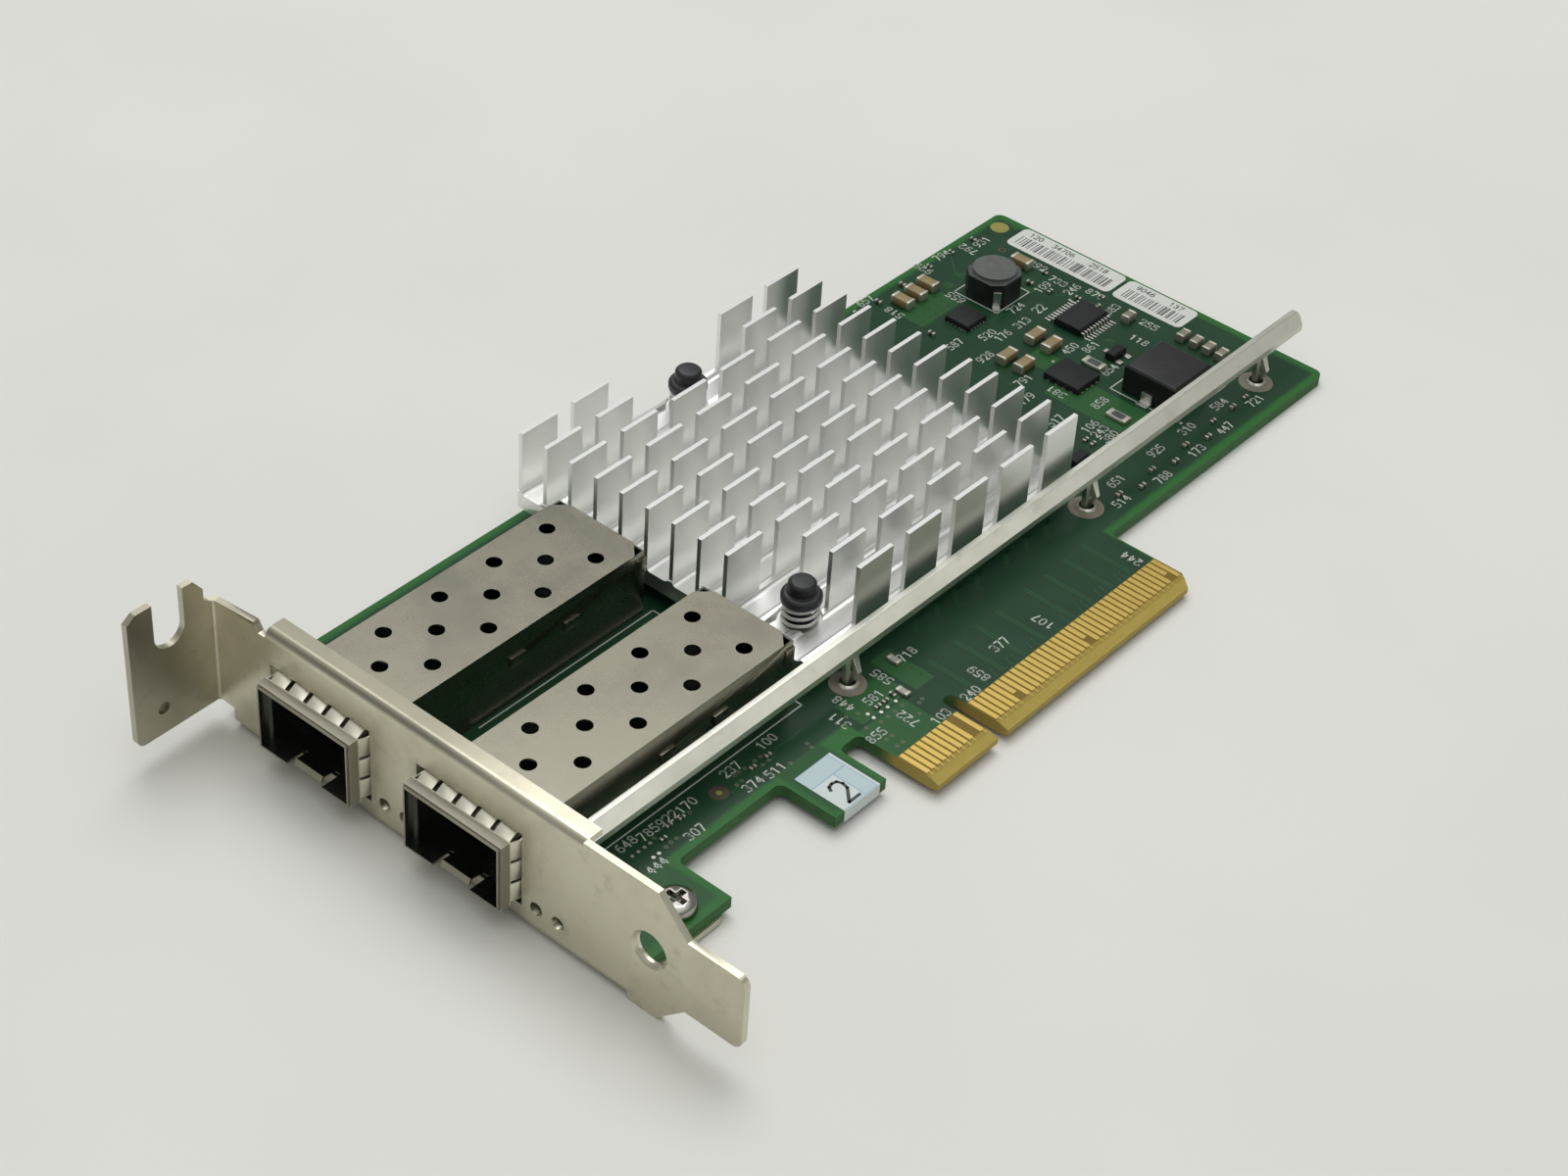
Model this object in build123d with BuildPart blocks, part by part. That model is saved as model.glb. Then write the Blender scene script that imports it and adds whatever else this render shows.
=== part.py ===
from build123d import *
import math
import os

os.makedirs("parts", exist_ok=True)

# Frame: origin in the middle of the key notch, on the contact edge, at half the board's thickness.
# +X runs from the bracket to the far end, +Y away from the contact edge, +Z out of the component side.

# Circuit board
board_thickness = 1.57
board_top = board_thickness / 2
board_left = -57.5
board_right = 88.5
board_upper = 68.9
board_lower = 13.1
board_corner_radius = 1.2
tongue_left = -12.15
tongue_right = 39.15
tongue_corner_x = 1.45
tongue_corner_y = 2.0
key_notch_width = 1.9
key_notch_depth = 8.8
bevel_length = 1.3
bevel_height = 0.4
hook_right = -15.8
hook_left = -24.8
hook_low = 4.8
hook_slot_end = 11.9
hook_slot_radius = 0.9
inner_corner_radius = 1.0
screw_tab_right = -42.3
screw_tab_low = 5.0
screw_x = -47.7
screw_ys = [8.4, board_upper - 5.4]
screw_hole_radius = 1.5
push_pin_places = [(-5.2, 27.2), (17.0, 65.3)]
push_pin_hole_radius = 1.6

# Edge contacts
contact_pitch = 1.0
contact_width = 0.7
contact_thickness = 0.05
contact_outer_y = 2.0
contact_short_y = 3.3
contact_inner_y = 6.15
contacts_before_key = 11
contacts_after_key = 38
first_after_key_x = 1.5
missing_front_contact = -2.5
short_front_contacts = [6.5, 20.5, 37.5]
short_back_contact = -11.5

# Slot bracket
sheet = 0.86
blade_outer = -59.3
blade_low = -2.0
blade_high = 16.47
bracket_tip_y = -11.2
tongue_low_z = 1.9
tongue_high_z = 12.1
tongue_shoulder_y = -3.3
chamfer_high_y = 0.9
chamfer_low_y = 0.7
tongue_tip_radius = 1.3
roll_radius = 1.2
lower_flange_z = -board_top - sheet
lower_roll_start = 4.7
lower_roll_end = board_upper - 2.4
upper_roll_start = 11.5
upper_roll_end = board_upper - 8.6
upper_notch_y = board_upper - 7.5
upper_notch_z = 15.3
upper_shoulder_y = board_upper - 6.7
flange_depth = 2.9
foot_end = -43.2
foot_width = 7.4
foot_corner_radius = 1.5
neck_low_z = 1.0
neck_high_z = 15.8
tab_under_y = board_upper
tab_bend_radius = 0.4
tab_end = -71.5
tab_low_z = 0.9
tab_high_z = 19.9
tab_low_corner_radius = 1.2
tab_chamfer_x = 1.3
tab_chamfer_z = 0.9
fork_left = -67.9
fork_right = -63.5
fork_round_z = 15.0
prong_right = -62.0
prong_heel_x = -60.6
prong_heel_high_z = 18.1
prong_heel_low_z = 16.5
dimple_x = -67.4
dimple_z = 4.6
dimple_radius = 0.8
dimple_depth = 0.35
bracket_hole_y = 1.9
bracket_hole_z = 7.4
bracket_hole_radius = 2.1
bracket_hole_flare_radius = 2.5
port_cut_half_width = 8.0
port_cut_low_z = 1.2
port_cut_high_z = 11.7

# Bracket screws
screw_head_radius = 2.45
screw_head_height = 1.6
screw_crown_drop = 0.75
screw_crown_inset = 0.9
screw_edge_inset = 0.2
screw_shank_radius = 1.2
screw_slot_length = 2.6
screw_slot_width = 0.7
screw_slot_depth = 0.9

# Port cages
port_pitch = 23.35
upper_port_y = 51.7
lower_port_y = upper_port_y - port_pitch
cage_sheet = 0.25
cage_width = 14.0
cage_top = 10.6
cage_rear = -13.6
cage_body_front = -56.4
nose_front = -61.9
nose_flare_end = -60.2
nose_flare = 0.5
nose_low_z = 1.4
nose_high_z = 10.4
cage_corner_clip = 1.8
vent_radius = 1.0
vent_pitch = 8.95
vent_outer_first_x = -18.9
vent_middle_first_x = -23.3
vent_row_offset = 4.0
vents_in_row = 4
cage_floor_end = -29.0
side_tab_xs = [-26.2, -35.2]
side_tab_length = 2.4
side_tab_height = 1.4
side_tab_z = 6.8
side_tab_depth = 0.3
rear_flap_length = 1.5
rear_flap_low_z = 7.4
rear_flap_high_z = 9.6
latch_half_width = 2.2
latch_root_x = -57.4
latch_front_x = -61.0
latch_tip_z = 2.15
latch_lip_reach = 0.35
latch_lip_drop = 0.75
latch_gap_half_width = 2.9
latch_gap_end = -59.0

# Spring collars round the cage mouths
collar_sheet = 0.2
collar_front = -61.6
finger_pitch = 2.92
finger_width = 2.3
fingers_on_top = 5
fingers_on_side = 3
side_finger_pitch = 3.03
side_finger_width = 2.63
side_finger_middle_z = 6.1
side_finger_bow = 0.4
finger_end = -56.8
finger_bow = 0.65
finger_start_rise = 0.0
finger_end_rise = 0.1
finger_bow_front_x = -59.1
finger_bow_back_x = -58.5

# Module connectors
connector_front = -27.0
connector_rear = -15.0
connector_width = 11.6
connector_top = 7.4
connector_slot_width = 9.6
connector_slot_height = 1.6
connector_slot_z = 4.4
connector_slot_depth = 6.0
connector_chamfer = 0.8

# Status lights
light_offsets = [-10.15, -13.35]
light_z = 2.0
light_hole_radius = 0.9
light_body_left = -57.3
light_body_right = -55.2
light_body_width = 2.4
light_body_height = 2.2
lens_radius = 0.6
lens_reach = 0.9

# Heatsink
sink_left = -11.3
sink_right = 40.9
sink_low_y = 21.3
sink_high_y = 68.0
sink_base_low_z = 3.0
sink_base_high_z = 5.1
fin_top = 14.3
fin_thickness = 0.6
fin_length = 6.2
fin_first_x = -11.15
fin_column_pitch = 9.15
fin_columns = 6
fin_row_pitch = 4.19
fin_rows = 12
fin_root_radius = 0.7
fin_stub_height = 0.45
missing_fins = [(2, 0), (2, 1), (3, 0), (3, 1), (0, 9), (0, 10), (0, 11)]
sink_hole_radius = 1.75
sink_spot_radius = 2.75

# Controller chip and thermal pad under the heatsink
controller_x = 13.0
controller_y = 45.0
controller_size = 25.0
controller_height = 1.9
controller_lid_size = 21.0
controller_lid_height = 0.4
thermal_pad_size = 20.0

# Push-pins
pin_shank_radius = 1.25
pin_tip_z = -1.2
pin_shoulder_low_z = 8.2
pin_shoulder_high_z = 9.4
pin_shoulder_radius = 2.55
pin_knob_radius = 1.75
pin_knob_top_z = 11.1
pin_round = 0.35
spring_outer_radius = 2.35
spring_wire = 0.5
spring_coils = 3
spring_sides = 20

# Stiffener rail
rail_sheet = 0.8
rail_outer_y = 18.15
rail_low_z = 4.8
rail_bend_z = 5.8
rail_high_z = 7.7
rail_lean = 1.0
rail_end_corner = 0.9
rail_left = -57.4
rail_right = 89.6
rail_foot_xs = [-6.2, 41.4, 80.05]
prong_width_top = 1.0
prong_width_tip = 0.55
prong_gap = 0.3
prong_bow = 0.9
prong_bow_z = 2.9
foot_hole_radius = 1.15
ring_pad_radius = 2.35
solder_inner_radius = 1.0
solder_outer_radius = 1.6
solder_height = 0.5
foot_center_y = rail_outer_y + rail_sheet / 2

# Power inductor
inductor_x = 71.6
inductor_y = 57.1
inductor_size = 6.8
inductor_corner = 1.5
inductor_body_top = 4.4
inductor_disc_radius = 3.1
inductor_top = 5.0
inductor_lead_width = 1.1
inductor_lead_thickness = 0.3
inductor_lead_height = 2.6
inductor_lead_foot = 1.0

# Chips without leads: centre x and y, size along X and Y, height over the board
regulator_chip_box = (63.5, 55.5, 4.2, 4.0, 0.9)
memory_chip_box = (62.8, 36.8, 5.0, 5.8, 0.95)
small_regulator_box = (48.5, 25.1, 2.9, 1.6, 1.1)
chip_edge = 0.15

# Chip with two rows of leads
logic_x = 74.7
logic_y = 44.1
logic_length = 6.5
logic_width = 4.4
logic_standoff = 0.15
logic_height = 1.05
lead_pitch = 0.65
lead_width = 0.28
lead_thickness = 0.15
leads_per_side = 10
lead_span = 7.8
lead_shoulder = 0.45
lead_rise = 0.55

# Transistor
transistor_x = 71.4
transistor_y = 35.75
transistor_length = 2.9
transistor_width = 1.5
transistor_height = 1.1

# Moulded magnetics module
choke_left = 65.5
choke_right = 74.0
choke_low_y = 22.1
choke_high_y = 30.5
choke_top = 5.0
choke_edge = 0.35
choke_lead_y = 26.3
choke_lead_width = 1.7
choke_lead_thickness = 0.3
choke_lead_height = 1.6
choke_lead_reach = 1.4

# Capacitors and resistors: centre places, then length, width, height and plated end length
tan_places_y = [(60.24, 64.0), (63.11, 64.0), (66.0, 64.2)]
tan_places_x = [(66.6, 45.9), (66.45, 43.0), (60.0, 45.7), (60.1, 42.85), (79.9, 58.3)]
tan_size = (3.1, 1.6, 1.3, 0.5)
grey_places = [(81.3, 31.5), (81.3, 29.3), (81.3, 27.2), (81.3, 25.1), (79.6, 39.5)]
grey_size = (2.0, 1.25, 1.2, 0.4)
resistor_places = [(67.5, 36.5), (60.0, 27.0)]
resistor_size = (3.2, 1.6, 0.55, 0.45)
end_plating = 0.04

small_places_x = [(46.4, 17.0), (53.7, 17.0), (61.3, 17.0), (72.8, 17.4), (50.0, 15.9), (57.4, 15.9), (64.9, 15.9)]
small_places_y = [(53.7, 66.9), (58.1, 66.6), (63.8, 66.9), (57.4, 56.6), (77.0, 54.6), (50.4, 40.4)]
small_size = (1.0, 0.55, 0.5, 0.25)

# Bar-code labels and the folded sticker
label_width = 4.6
label_margin = 0.4
label_spans = [(33.3, 43.5), (44.9, 63.7)]
label_thickness = 0.1
sticker_left = -23.3
sticker_right = -17.0
sticker_high_y = 12.3
sticker_back_y = 9.5
sticker_thickness = 0.1

CENTRED_ON_FLOOR = (Align.CENTER, Align.CENTER, Align.MIN)


def standing_box(x, y, z, length, width, height, mode=Mode.ADD):
    """Add or cut a box that stands on height z with its middle over x, y."""
    with Locations((x, y, z)):
        Box(length, width, height, align=CENTRED_ON_FLOOR, mode=mode)


def spanned_box(low, high, mode=Mode.ADD):
    """Add or cut a box between two opposite corners."""
    size = [b - a for a, b in zip(low, high)]
    with Locations(low):
        Box(*size, align=(Align.MIN, Align.MIN, Align.MIN), mode=mode)


def upright_cut(x, y, radius, low_z, high_z):
    """Cut a round hole along Z."""
    with Locations((x, y, low_z)):
        Cylinder(radius, high_z - low_z, align=CENTRED_ON_FLOOR, mode=Mode.SUBTRACT)


# Circuit board: one laminate with tongue, key notch, hook slot and screw tab
key_round_y = key_notch_depth - key_notch_width / 2
board_outline = [
    (board_left, board_upper),
    (board_right, board_upper),
    (board_right, board_lower),
    (tongue_right, board_lower),
    (tongue_right, tongue_corner_y),
    (tongue_right - tongue_corner_x, 0),
    (tongue_left, 0),
    (tongue_left, hook_slot_end),
    (hook_right, hook_slot_end),
    (hook_right, hook_low),
    (hook_left, hook_low),
    (hook_left, board_lower),
    (screw_tab_right, board_lower),
    (screw_tab_right, screw_tab_low),
    (board_left, screw_tab_low),
]
with BuildPart() as circuit_board:
    with BuildSketch(Plane.XY.offset(-board_top)):
        with BuildLine():
            Polyline(*board_outline, close=True)
        make_face()
        fillet(vertices().group_by(Axis.X)[-1], board_corner_radius)
        slot_ends = [v for v in vertices() if round(v.Y - hook_slot_end, 3) == 0]
        fillet(slot_ends, hook_slot_radius)
        inner_corners = [v for v in vertices() if round(v.Y - board_lower, 3) == 0 and v.X < tongue_right + 1]
        fillet(inner_corners, inner_corner_radius)
        with Locations((0, key_round_y / 2)):
            Rectangle(key_notch_width, key_round_y, mode=Mode.SUBTRACT)
        with Locations((0, key_round_y)):
            Circle(key_notch_width / 2, mode=Mode.SUBTRACT)
        with Locations(*[(screw_x, y) for y in screw_ys]):
            Circle(screw_hole_radius, mode=Mode.SUBTRACT)
        with Locations(*push_pin_places):
            Circle(push_pin_hole_radius, mode=Mode.SUBTRACT)
        with Locations(*[(x, foot_center_y) for x in rail_foot_xs]):
            Circle(foot_hole_radius, mode=Mode.SUBTRACT)
    extrude(amount=board_thickness)
    # bevels on both faces of the contact edge
    with BuildSketch(Plane.YZ.offset(tongue_left)):
        for face in (1, -1):
            with BuildLine():
                Polyline(
                    (0, face * board_top),
                    (bevel_length, face * board_top),
                    (0, face * (board_top - bevel_height)),
                    close=True,
                )
            make_face()
    extrude(amount=tongue_right - tongue_left, mode=Mode.SUBTRACT)
circuit_board.part.label = "circuit_board"
export_step(circuit_board.part, "parts/circuit_board.step")


# Edge contacts: gold pads on both faces of the tongue
contact_xs = [first_after_key_x + contact_pitch * i for i in range(contacts_after_key)]
contact_xs += [-first_after_key_x - contact_pitch * i for i in range(contacts_before_key)]


def contact_row(low_z, short_xs, missing_x):
    """Add one row of pads standing on low_z."""
    for x in contact_xs:
        if x == missing_x:
            continue
        outer_y = contact_short_y if x in short_xs else contact_outer_y
        middle_y = (outer_y + contact_inner_y) / 2
        standing_box(x, middle_y, low_z, contact_width, contact_inner_y - outer_y, contact_thickness)


with BuildPart() as edge_contacts_front:
    contact_row(board_top, short_front_contacts, missing_front_contact)
edge_contacts_front.part.label = "edge_contacts_front"
export_step(edge_contacts_front.part, "parts/edge_contacts_front.step")

with BuildPart() as edge_contacts_back:
    contact_row(-board_top - contact_thickness, [short_back_contact], None)
edge_contacts_back.part.label = "edge_contacts_back"
export_step(edge_contacts_back.part, "parts/edge_contacts_back.step")


# Slot bracket: stamped blade with rolled edges, board feet, slot tongue and bent tab
blade_inner = blade_outer + sheet
bend_outer_radius = tab_bend_radius + sheet
bend_center_x = blade_outer - tab_bend_radius
bend_center_y = tab_under_y - tab_bend_radius
tab_top_y = tab_under_y + sheet
blade_outline = [
    (bracket_tip_y, tongue_low_z),
    (tongue_shoulder_y, tongue_low_z),
    (chamfer_low_y, blade_low),
    (lower_roll_start, blade_low),
    (lower_roll_start, lower_flange_z + roll_radius),
    (lower_roll_end, lower_flange_z + roll_radius),
    (lower_roll_end, neck_low_z),
    (bend_center_y, neck_low_z),
    (bend_center_y, neck_high_z),
    (upper_shoulder_y, blade_high),
    (upper_notch_y, upper_notch_z),
    (upper_roll_end, blade_high - roll_radius),
    (upper_roll_start, blade_high - roll_radius),
    (upper_roll_start, blade_high),
    (chamfer_high_y, blade_high),
    (tongue_shoulder_y, tongue_high_z),
    (bracket_tip_y, tongue_high_z),
]


def rolled_edge(y_low, y_high, edge_z, outward):
    """Add a flange folded inward along one long edge; outward is +1 at the top edge and -1 below."""
    inner_radius = roll_radius - sheet
    bend_x = blade_outer + roll_radius
    bend_z = edge_z - outward * roll_radius
    inner_z = edge_z - outward * sheet
    diagonal = math.sqrt(0.5)
    with BuildSketch(Plane.XZ.offset(-y_high)) as profile:
        with BuildLine():
            ThreePointArc(
                (blade_outer, bend_z),
                (bend_x - roll_radius * diagonal, bend_z + outward * roll_radius * diagonal),
                (bend_x, edge_z),
            )
            Polyline(
                (bend_x, edge_z),
                (blade_outer + flange_depth, edge_z),
                (blade_outer + flange_depth, inner_z),
                (bend_x, inner_z),
            )
            ThreePointArc(
                (bend_x, inner_z),
                (bend_x - inner_radius * diagonal, bend_z + outward * inner_radius * diagonal),
                (blade_inner, bend_z),
            )
            Line((blade_inner, bend_z), (blade_outer, bend_z))
        make_face()
    extrude(profile.sketch, amount=y_high - y_low)


with BuildPart() as slot_bracket:
    with BuildSketch(Plane.YZ.offset(blade_outer)):
        with BuildLine():
            Polyline(*blade_outline, close=True)
        make_face()
        fillet(vertices().group_by(Axis.X)[0], tongue_tip_radius)
    extrude(amount=sheet)
    rolled_edge(lower_roll_start, lower_roll_end, lower_flange_z, -1)
    rolled_edge(upper_roll_start, upper_roll_end, blade_high, 1)
    # feet under the board, one at each screw
    foot_start = blade_outer + flange_depth
    for screw_y in screw_ys:
        with BuildSketch(Plane.XY.offset(lower_flange_z)):
            with Locations(((foot_start + foot_end) / 2, screw_y)):
                Rectangle(foot_end - foot_start, foot_width)
            fillet(vertices().group_by(Axis.X)[-1], foot_corner_radius)
            with Locations((screw_x, screw_y)):
                Circle(screw_hole_radius, mode=Mode.SUBTRACT)
        extrude(amount=sheet)
    # bend and tab
    with BuildSketch(Plane.XY.offset(neck_low_z)):
        with BuildLine():
            Line((blade_outer, bend_center_y), (blade_inner, bend_center_y))
            RadiusArc((blade_inner, bend_center_y), (bend_center_x, tab_top_y), -bend_outer_radius)
            Line((bend_center_x, tab_top_y), (bend_center_x, tab_under_y))
            RadiusArc((bend_center_x, tab_under_y), (blade_outer, bend_center_y), tab_bend_radius)
        make_face()
    extrude(amount=neck_high_z - neck_low_z)
    fork_middle = (fork_left + fork_right) / 2
    fork_radius = (fork_right - fork_left) / 2
    with BuildSketch(Plane.XZ.offset(-tab_top_y)):
        with BuildLine():
            Polyline(
                (bend_center_x, neck_low_z),
                (tab_end, tab_low_z),
                (tab_end, tab_high_z - tab_chamfer_z),
                (tab_end + tab_chamfer_x, tab_high_z),
                (prong_right, tab_high_z),
                (prong_heel_x, prong_heel_high_z),
                (prong_heel_x, prong_heel_low_z),
                (bend_center_x, neck_high_z),
                close=True,
            )
        make_face()
        fillet(vertices().group_by(Axis.Y)[0], tab_low_corner_radius)
        with Locations((fork_middle, (fork_round_z + tab_high_z) / 2)):
            Rectangle(2 * fork_radius, tab_high_z - fork_round_z, mode=Mode.SUBTRACT)
        with Locations((fork_middle, fork_round_z)):
            Circle(fork_radius, mode=Mode.SUBTRACT)
    extrude(amount=sheet)
    with Locations(Location(Plane(origin=(dimple_x, tab_under_y, dimple_z), z_dir=(0, -1, 0)))):
        Hole(dimple_radius, depth=dimple_depth)
    # openings for the ports, the status lights and the large hole near the tongue
    for port_y in (upper_port_y, lower_port_y):
        spanned_box(
            (blade_outer, port_y - port_cut_half_width, port_cut_low_z),
            (blade_inner, port_y + port_cut_half_width, port_cut_high_z),
            mode=Mode.SUBTRACT,
        )
        for offset_y in light_offsets:
            with Locations(Location(Plane(origin=(blade_outer, port_y + offset_y, light_z), z_dir=(-1, 0, 0)))):
                Hole(light_hole_radius, depth=sheet)
    with Locations(Location(Plane(origin=(blade_outer, bracket_hole_y, bracket_hole_z), z_dir=(-1, 0, 0)))):
        CounterSinkHole(bracket_hole_radius, bracket_hole_flare_radius, depth=sheet)
slot_bracket.part.label = "slot_bracket"
export_step(slot_bracket.part, "parts/slot_bracket.step")


# Bracket screws: pan heads on the board, shanks down into the bracket's feet
with BuildPart() as bracket_screws:
    head_top = board_top + screw_head_height
    for screw_y in screw_ys:
        with BuildSketch(Plane(origin=(screw_x, screw_y, 0), x_dir=(1, 0, 0), z_dir=(0, -1, 0))) as half_screw:
            with BuildLine():
                Polyline(
                    (0, lower_flange_z),
                    (screw_shank_radius, lower_flange_z),
                    (screw_shank_radius, board_top),
                    (screw_head_radius, board_top),
                    (screw_head_radius, head_top - screw_crown_drop),
                    (screw_head_radius - screw_edge_inset, head_top - screw_crown_drop / 2),
                    (screw_head_radius - screw_crown_inset, head_top),
                    (0, head_top),
                    close=True,
                )
            make_face()
        revolve(half_screw.sketch, axis=Axis((screw_x, screw_y, 0), (0, 0, 1)))
        slot_floor = head_top - screw_slot_depth
        standing_box(
            screw_x, screw_y, slot_floor, screw_slot_length, screw_slot_width, screw_slot_depth, Mode.SUBTRACT
        )
        standing_box(
            screw_x, screw_y, slot_floor, screw_slot_width, screw_slot_length, screw_slot_depth, Mode.SUBTRACT
        )
bracket_screws.part.label = "bracket_screws"
export_step(bracket_screws.part, "parts/bracket_screws.step")


# Port cages: folded sheet boxes, open at the mouth and over the connector
def latch_gap(mouth_y):
    """Cut the gap round the latch tongue through the floor of a mouth."""
    spanned_box(
        (nose_front, mouth_y - latch_gap_half_width, nose_low_z - collar_sheet),
        (latch_gap_end, mouth_y + latch_gap_half_width, nose_low_z + cage_sheet),
        mode=Mode.SUBTRACT,
    )


def port_cage(port_y):
    """Build one cage round the middle line at port_y."""
    half = cage_width / 2
    inner_half = half - cage_sheet
    inner_top = cage_top - cage_sheet
    inner_floor = board_top + cage_sheet
    inner_rear = cage_rear - cage_sheet
    mouth_y = port_y + nose_flare / 2
    with BuildPart() as shell:
        spanned_box((cage_body_front, port_y - half, board_top), (cage_rear, port_y + half, cage_top))
        spanned_box((nose_flare_end, port_y - half, nose_low_z), (cage_body_front, port_y + half, nose_high_z))
        # mouth, flared to one side
        spanned_box((nose_front, port_y - half, nose_low_z), (nose_flare_end, port_y + half + nose_flare, nose_high_z))
        spanned_box(
            (cage_body_front + cage_sheet, port_y - inner_half, inner_floor),
            (inner_rear, port_y + inner_half, inner_top),
            mode=Mode.SUBTRACT,
        )
        spanned_box(
            (nose_front, port_y - inner_half, nose_low_z + cage_sheet),
            (cage_body_front + cage_sheet, port_y + inner_half, nose_high_z - cage_sheet),
            mode=Mode.SUBTRACT,
        )
        spanned_box(
            (nose_front, port_y - inner_half, nose_low_z + cage_sheet),
            (nose_flare_end - cage_sheet, port_y + inner_half + nose_flare, nose_high_z - cage_sheet),
            mode=Mode.SUBTRACT,
        )
        # floor left out over the connector
        spanned_box(
            (cage_floor_end, port_y - inner_half, board_top),
            (inner_rear, port_y + inner_half, inner_floor),
            mode=Mode.SUBTRACT,
        )
        # clipped rear corners of the top
        for side in (1, -1):
            with BuildSketch(Plane.XY.offset(inner_top)) as clip:
                with BuildLine():
                    Polyline(
                        (cage_rear, port_y + side * half),
                        (cage_rear - cage_corner_clip, port_y + side * half),
                        (cage_rear, port_y + side * (half - cage_corner_clip)),
                        close=True,
                    )
                make_face()
            extrude(clip.sketch, amount=cage_sheet, mode=Mode.SUBTRACT)
        # vent holes in three rows
        for i in range(vents_in_row):
            outer_x = vent_outer_first_x - vent_pitch * i
            upright_cut(outer_x, port_y + vent_row_offset, vent_radius, inner_top, cage_top)
            upright_cut(outer_x, port_y - vent_row_offset, vent_radius, inner_top, cage_top)
            upright_cut(vent_middle_first_x - vent_pitch * i, port_y, vent_radius, inner_top, cage_top)
        for side in (1, -1):
            # pressed tabs in the side walls
            for x in side_tab_xs:
                near, far = sorted((port_y + side * half, port_y + side * (half + side_tab_depth)))
                spanned_box(
                    (x - side_tab_length / 2, near, side_tab_z - side_tab_height / 2),
                    (x + side_tab_length / 2, far, side_tab_z + side_tab_height / 2),
                )
            # flaps of the rear wall folded round the sides
            near, far = sorted((port_y + side * half, port_y + side * (half + cage_sheet)))
            spanned_box((cage_rear - rear_flap_length, near, rear_flap_low_z), (cage_rear, far, rear_flap_high_z))
        # gap in the floor of the mouth, and the latch tongue that rises in it to a folded lip
        latch_gap(mouth_y)
        floor_z = nose_low_z + cage_sheet
        lip_x = latch_front_x - latch_lip_reach
        lip_z = latch_tip_z - latch_lip_drop
        with BuildSketch(Plane.XZ.offset(-(mouth_y + latch_half_width))) as ramp:
            with BuildLine():
                Polyline(
                    (latch_root_x, floor_z - cage_sheet),
                    (latch_root_x, floor_z),
                    (latch_front_x, latch_tip_z),
                    (lip_x, lip_z),
                    (lip_x + cage_sheet, lip_z),
                    (latch_front_x + cage_sheet, latch_tip_z - cage_sheet),
                    close=True,
                )
            make_face()
        extrude(ramp.sketch, amount=2 * latch_half_width)
    return shell


# Spring collars: a lip round the cage mouth with bowed fingers behind it
def finger_points(start_rise, bow):
    """Outline of one bowed finger as distance along X and height over the cage wall."""
    path = [
        (nose_flare_end, start_rise),
        (finger_bow_front_x, bow),
        (finger_bow_back_x, bow),
        (finger_end, finger_end_rise),
    ]
    return path + [(x, rise + collar_sheet) for x, rise in reversed(path)]


def spring_collar(port_y):
    """Build one collar round the cage nose at port_y."""
    half = cage_width / 2
    with BuildPart() as collar:
        spanned_box(
            (collar_front, port_y - half - collar_sheet, nose_low_z - collar_sheet),
            (nose_flare_end, port_y + half + nose_flare + collar_sheet, nose_high_z + collar_sheet),
        )
        spanned_box(
            (collar_front, port_y - half, nose_low_z),
            (nose_flare_end, port_y + half + nose_flare, nose_high_z),
            mode=Mode.SUBTRACT,
        )
        latch_gap(port_y + nose_flare / 2)
        # fingers over the top
        for i in range(fingers_on_top):
            middle_y = port_y + finger_pitch * (i - (fingers_on_top - 1) / 2)
            with BuildSketch(Plane.XZ.offset(-(middle_y + finger_width / 2))) as top_finger:
                with BuildLine():
                    outline = finger_points(finger_start_rise, finger_bow)
                    Polyline(*[(x, nose_high_z + rise) for x, rise in outline], close=True)
                make_face()
            extrude(top_finger.sketch, amount=finger_width)
        # fingers on both sides
        for side, start_rise in ((1, nose_flare), (-1, finger_start_rise)):
            for i in range(fingers_on_side):
                middle_z = side_finger_middle_z + side_finger_pitch * (i - (fingers_on_side - 1) / 2)
                with BuildSketch(Plane.XY.offset(middle_z - side_finger_width / 2)) as side_finger:
                    with BuildLine():
                        outline = finger_points(start_rise, side_finger_bow)
                        Polyline(*[(x, port_y + side * (half + rise)) for x, rise in outline], close=True)
                    make_face()
                extrude(side_finger.sketch, amount=side_finger_width)
    return collar


# Module connectors: moulded blocks on the board at the rear of each cage
def module_connector(port_y):
    """Build one connector with its card slot facing the mouth."""
    with BuildPart() as block:
        with BuildSketch(Plane.XZ.offset(-(port_y + connector_width / 2))) as side_profile:
            with BuildLine():
                Polyline(
                    (connector_front, board_top),
                    (connector_rear, board_top),
                    (connector_rear, connector_top - connector_chamfer),
                    (connector_rear - connector_chamfer, connector_top),
                    (connector_front + connector_chamfer, connector_top),
                    (connector_front, connector_top - connector_chamfer),
                    close=True,
                )
            make_face()
        extrude(side_profile.sketch, amount=connector_width)
        spanned_box(
            (connector_front, port_y - connector_slot_width / 2, connector_slot_z - connector_slot_height / 2),
            (
                connector_front + connector_slot_depth,
                port_y + connector_slot_width / 2,
                connector_slot_z + connector_slot_height / 2,
            ),
            mode=Mode.SUBTRACT,
        )
    return block


for port_name, port_y in (("upper", upper_port_y), ("lower", lower_port_y)):
    cage = port_cage(port_y)
    cage.part.label = f"port_cage_{port_name}"
    export_step(cage.part, f"parts/port_cage_{port_name}.step")
    collar = spring_collar(port_y)
    collar.part.label = f"spring_collar_{port_name}"
    export_step(collar.part, f"parts/spring_collar_{port_name}.step")
    connector = module_connector(port_y)
    connector.part.label = f"module_connector_{port_name}"
    export_step(connector.part, f"parts/module_connector_{port_name}.step")


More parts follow.
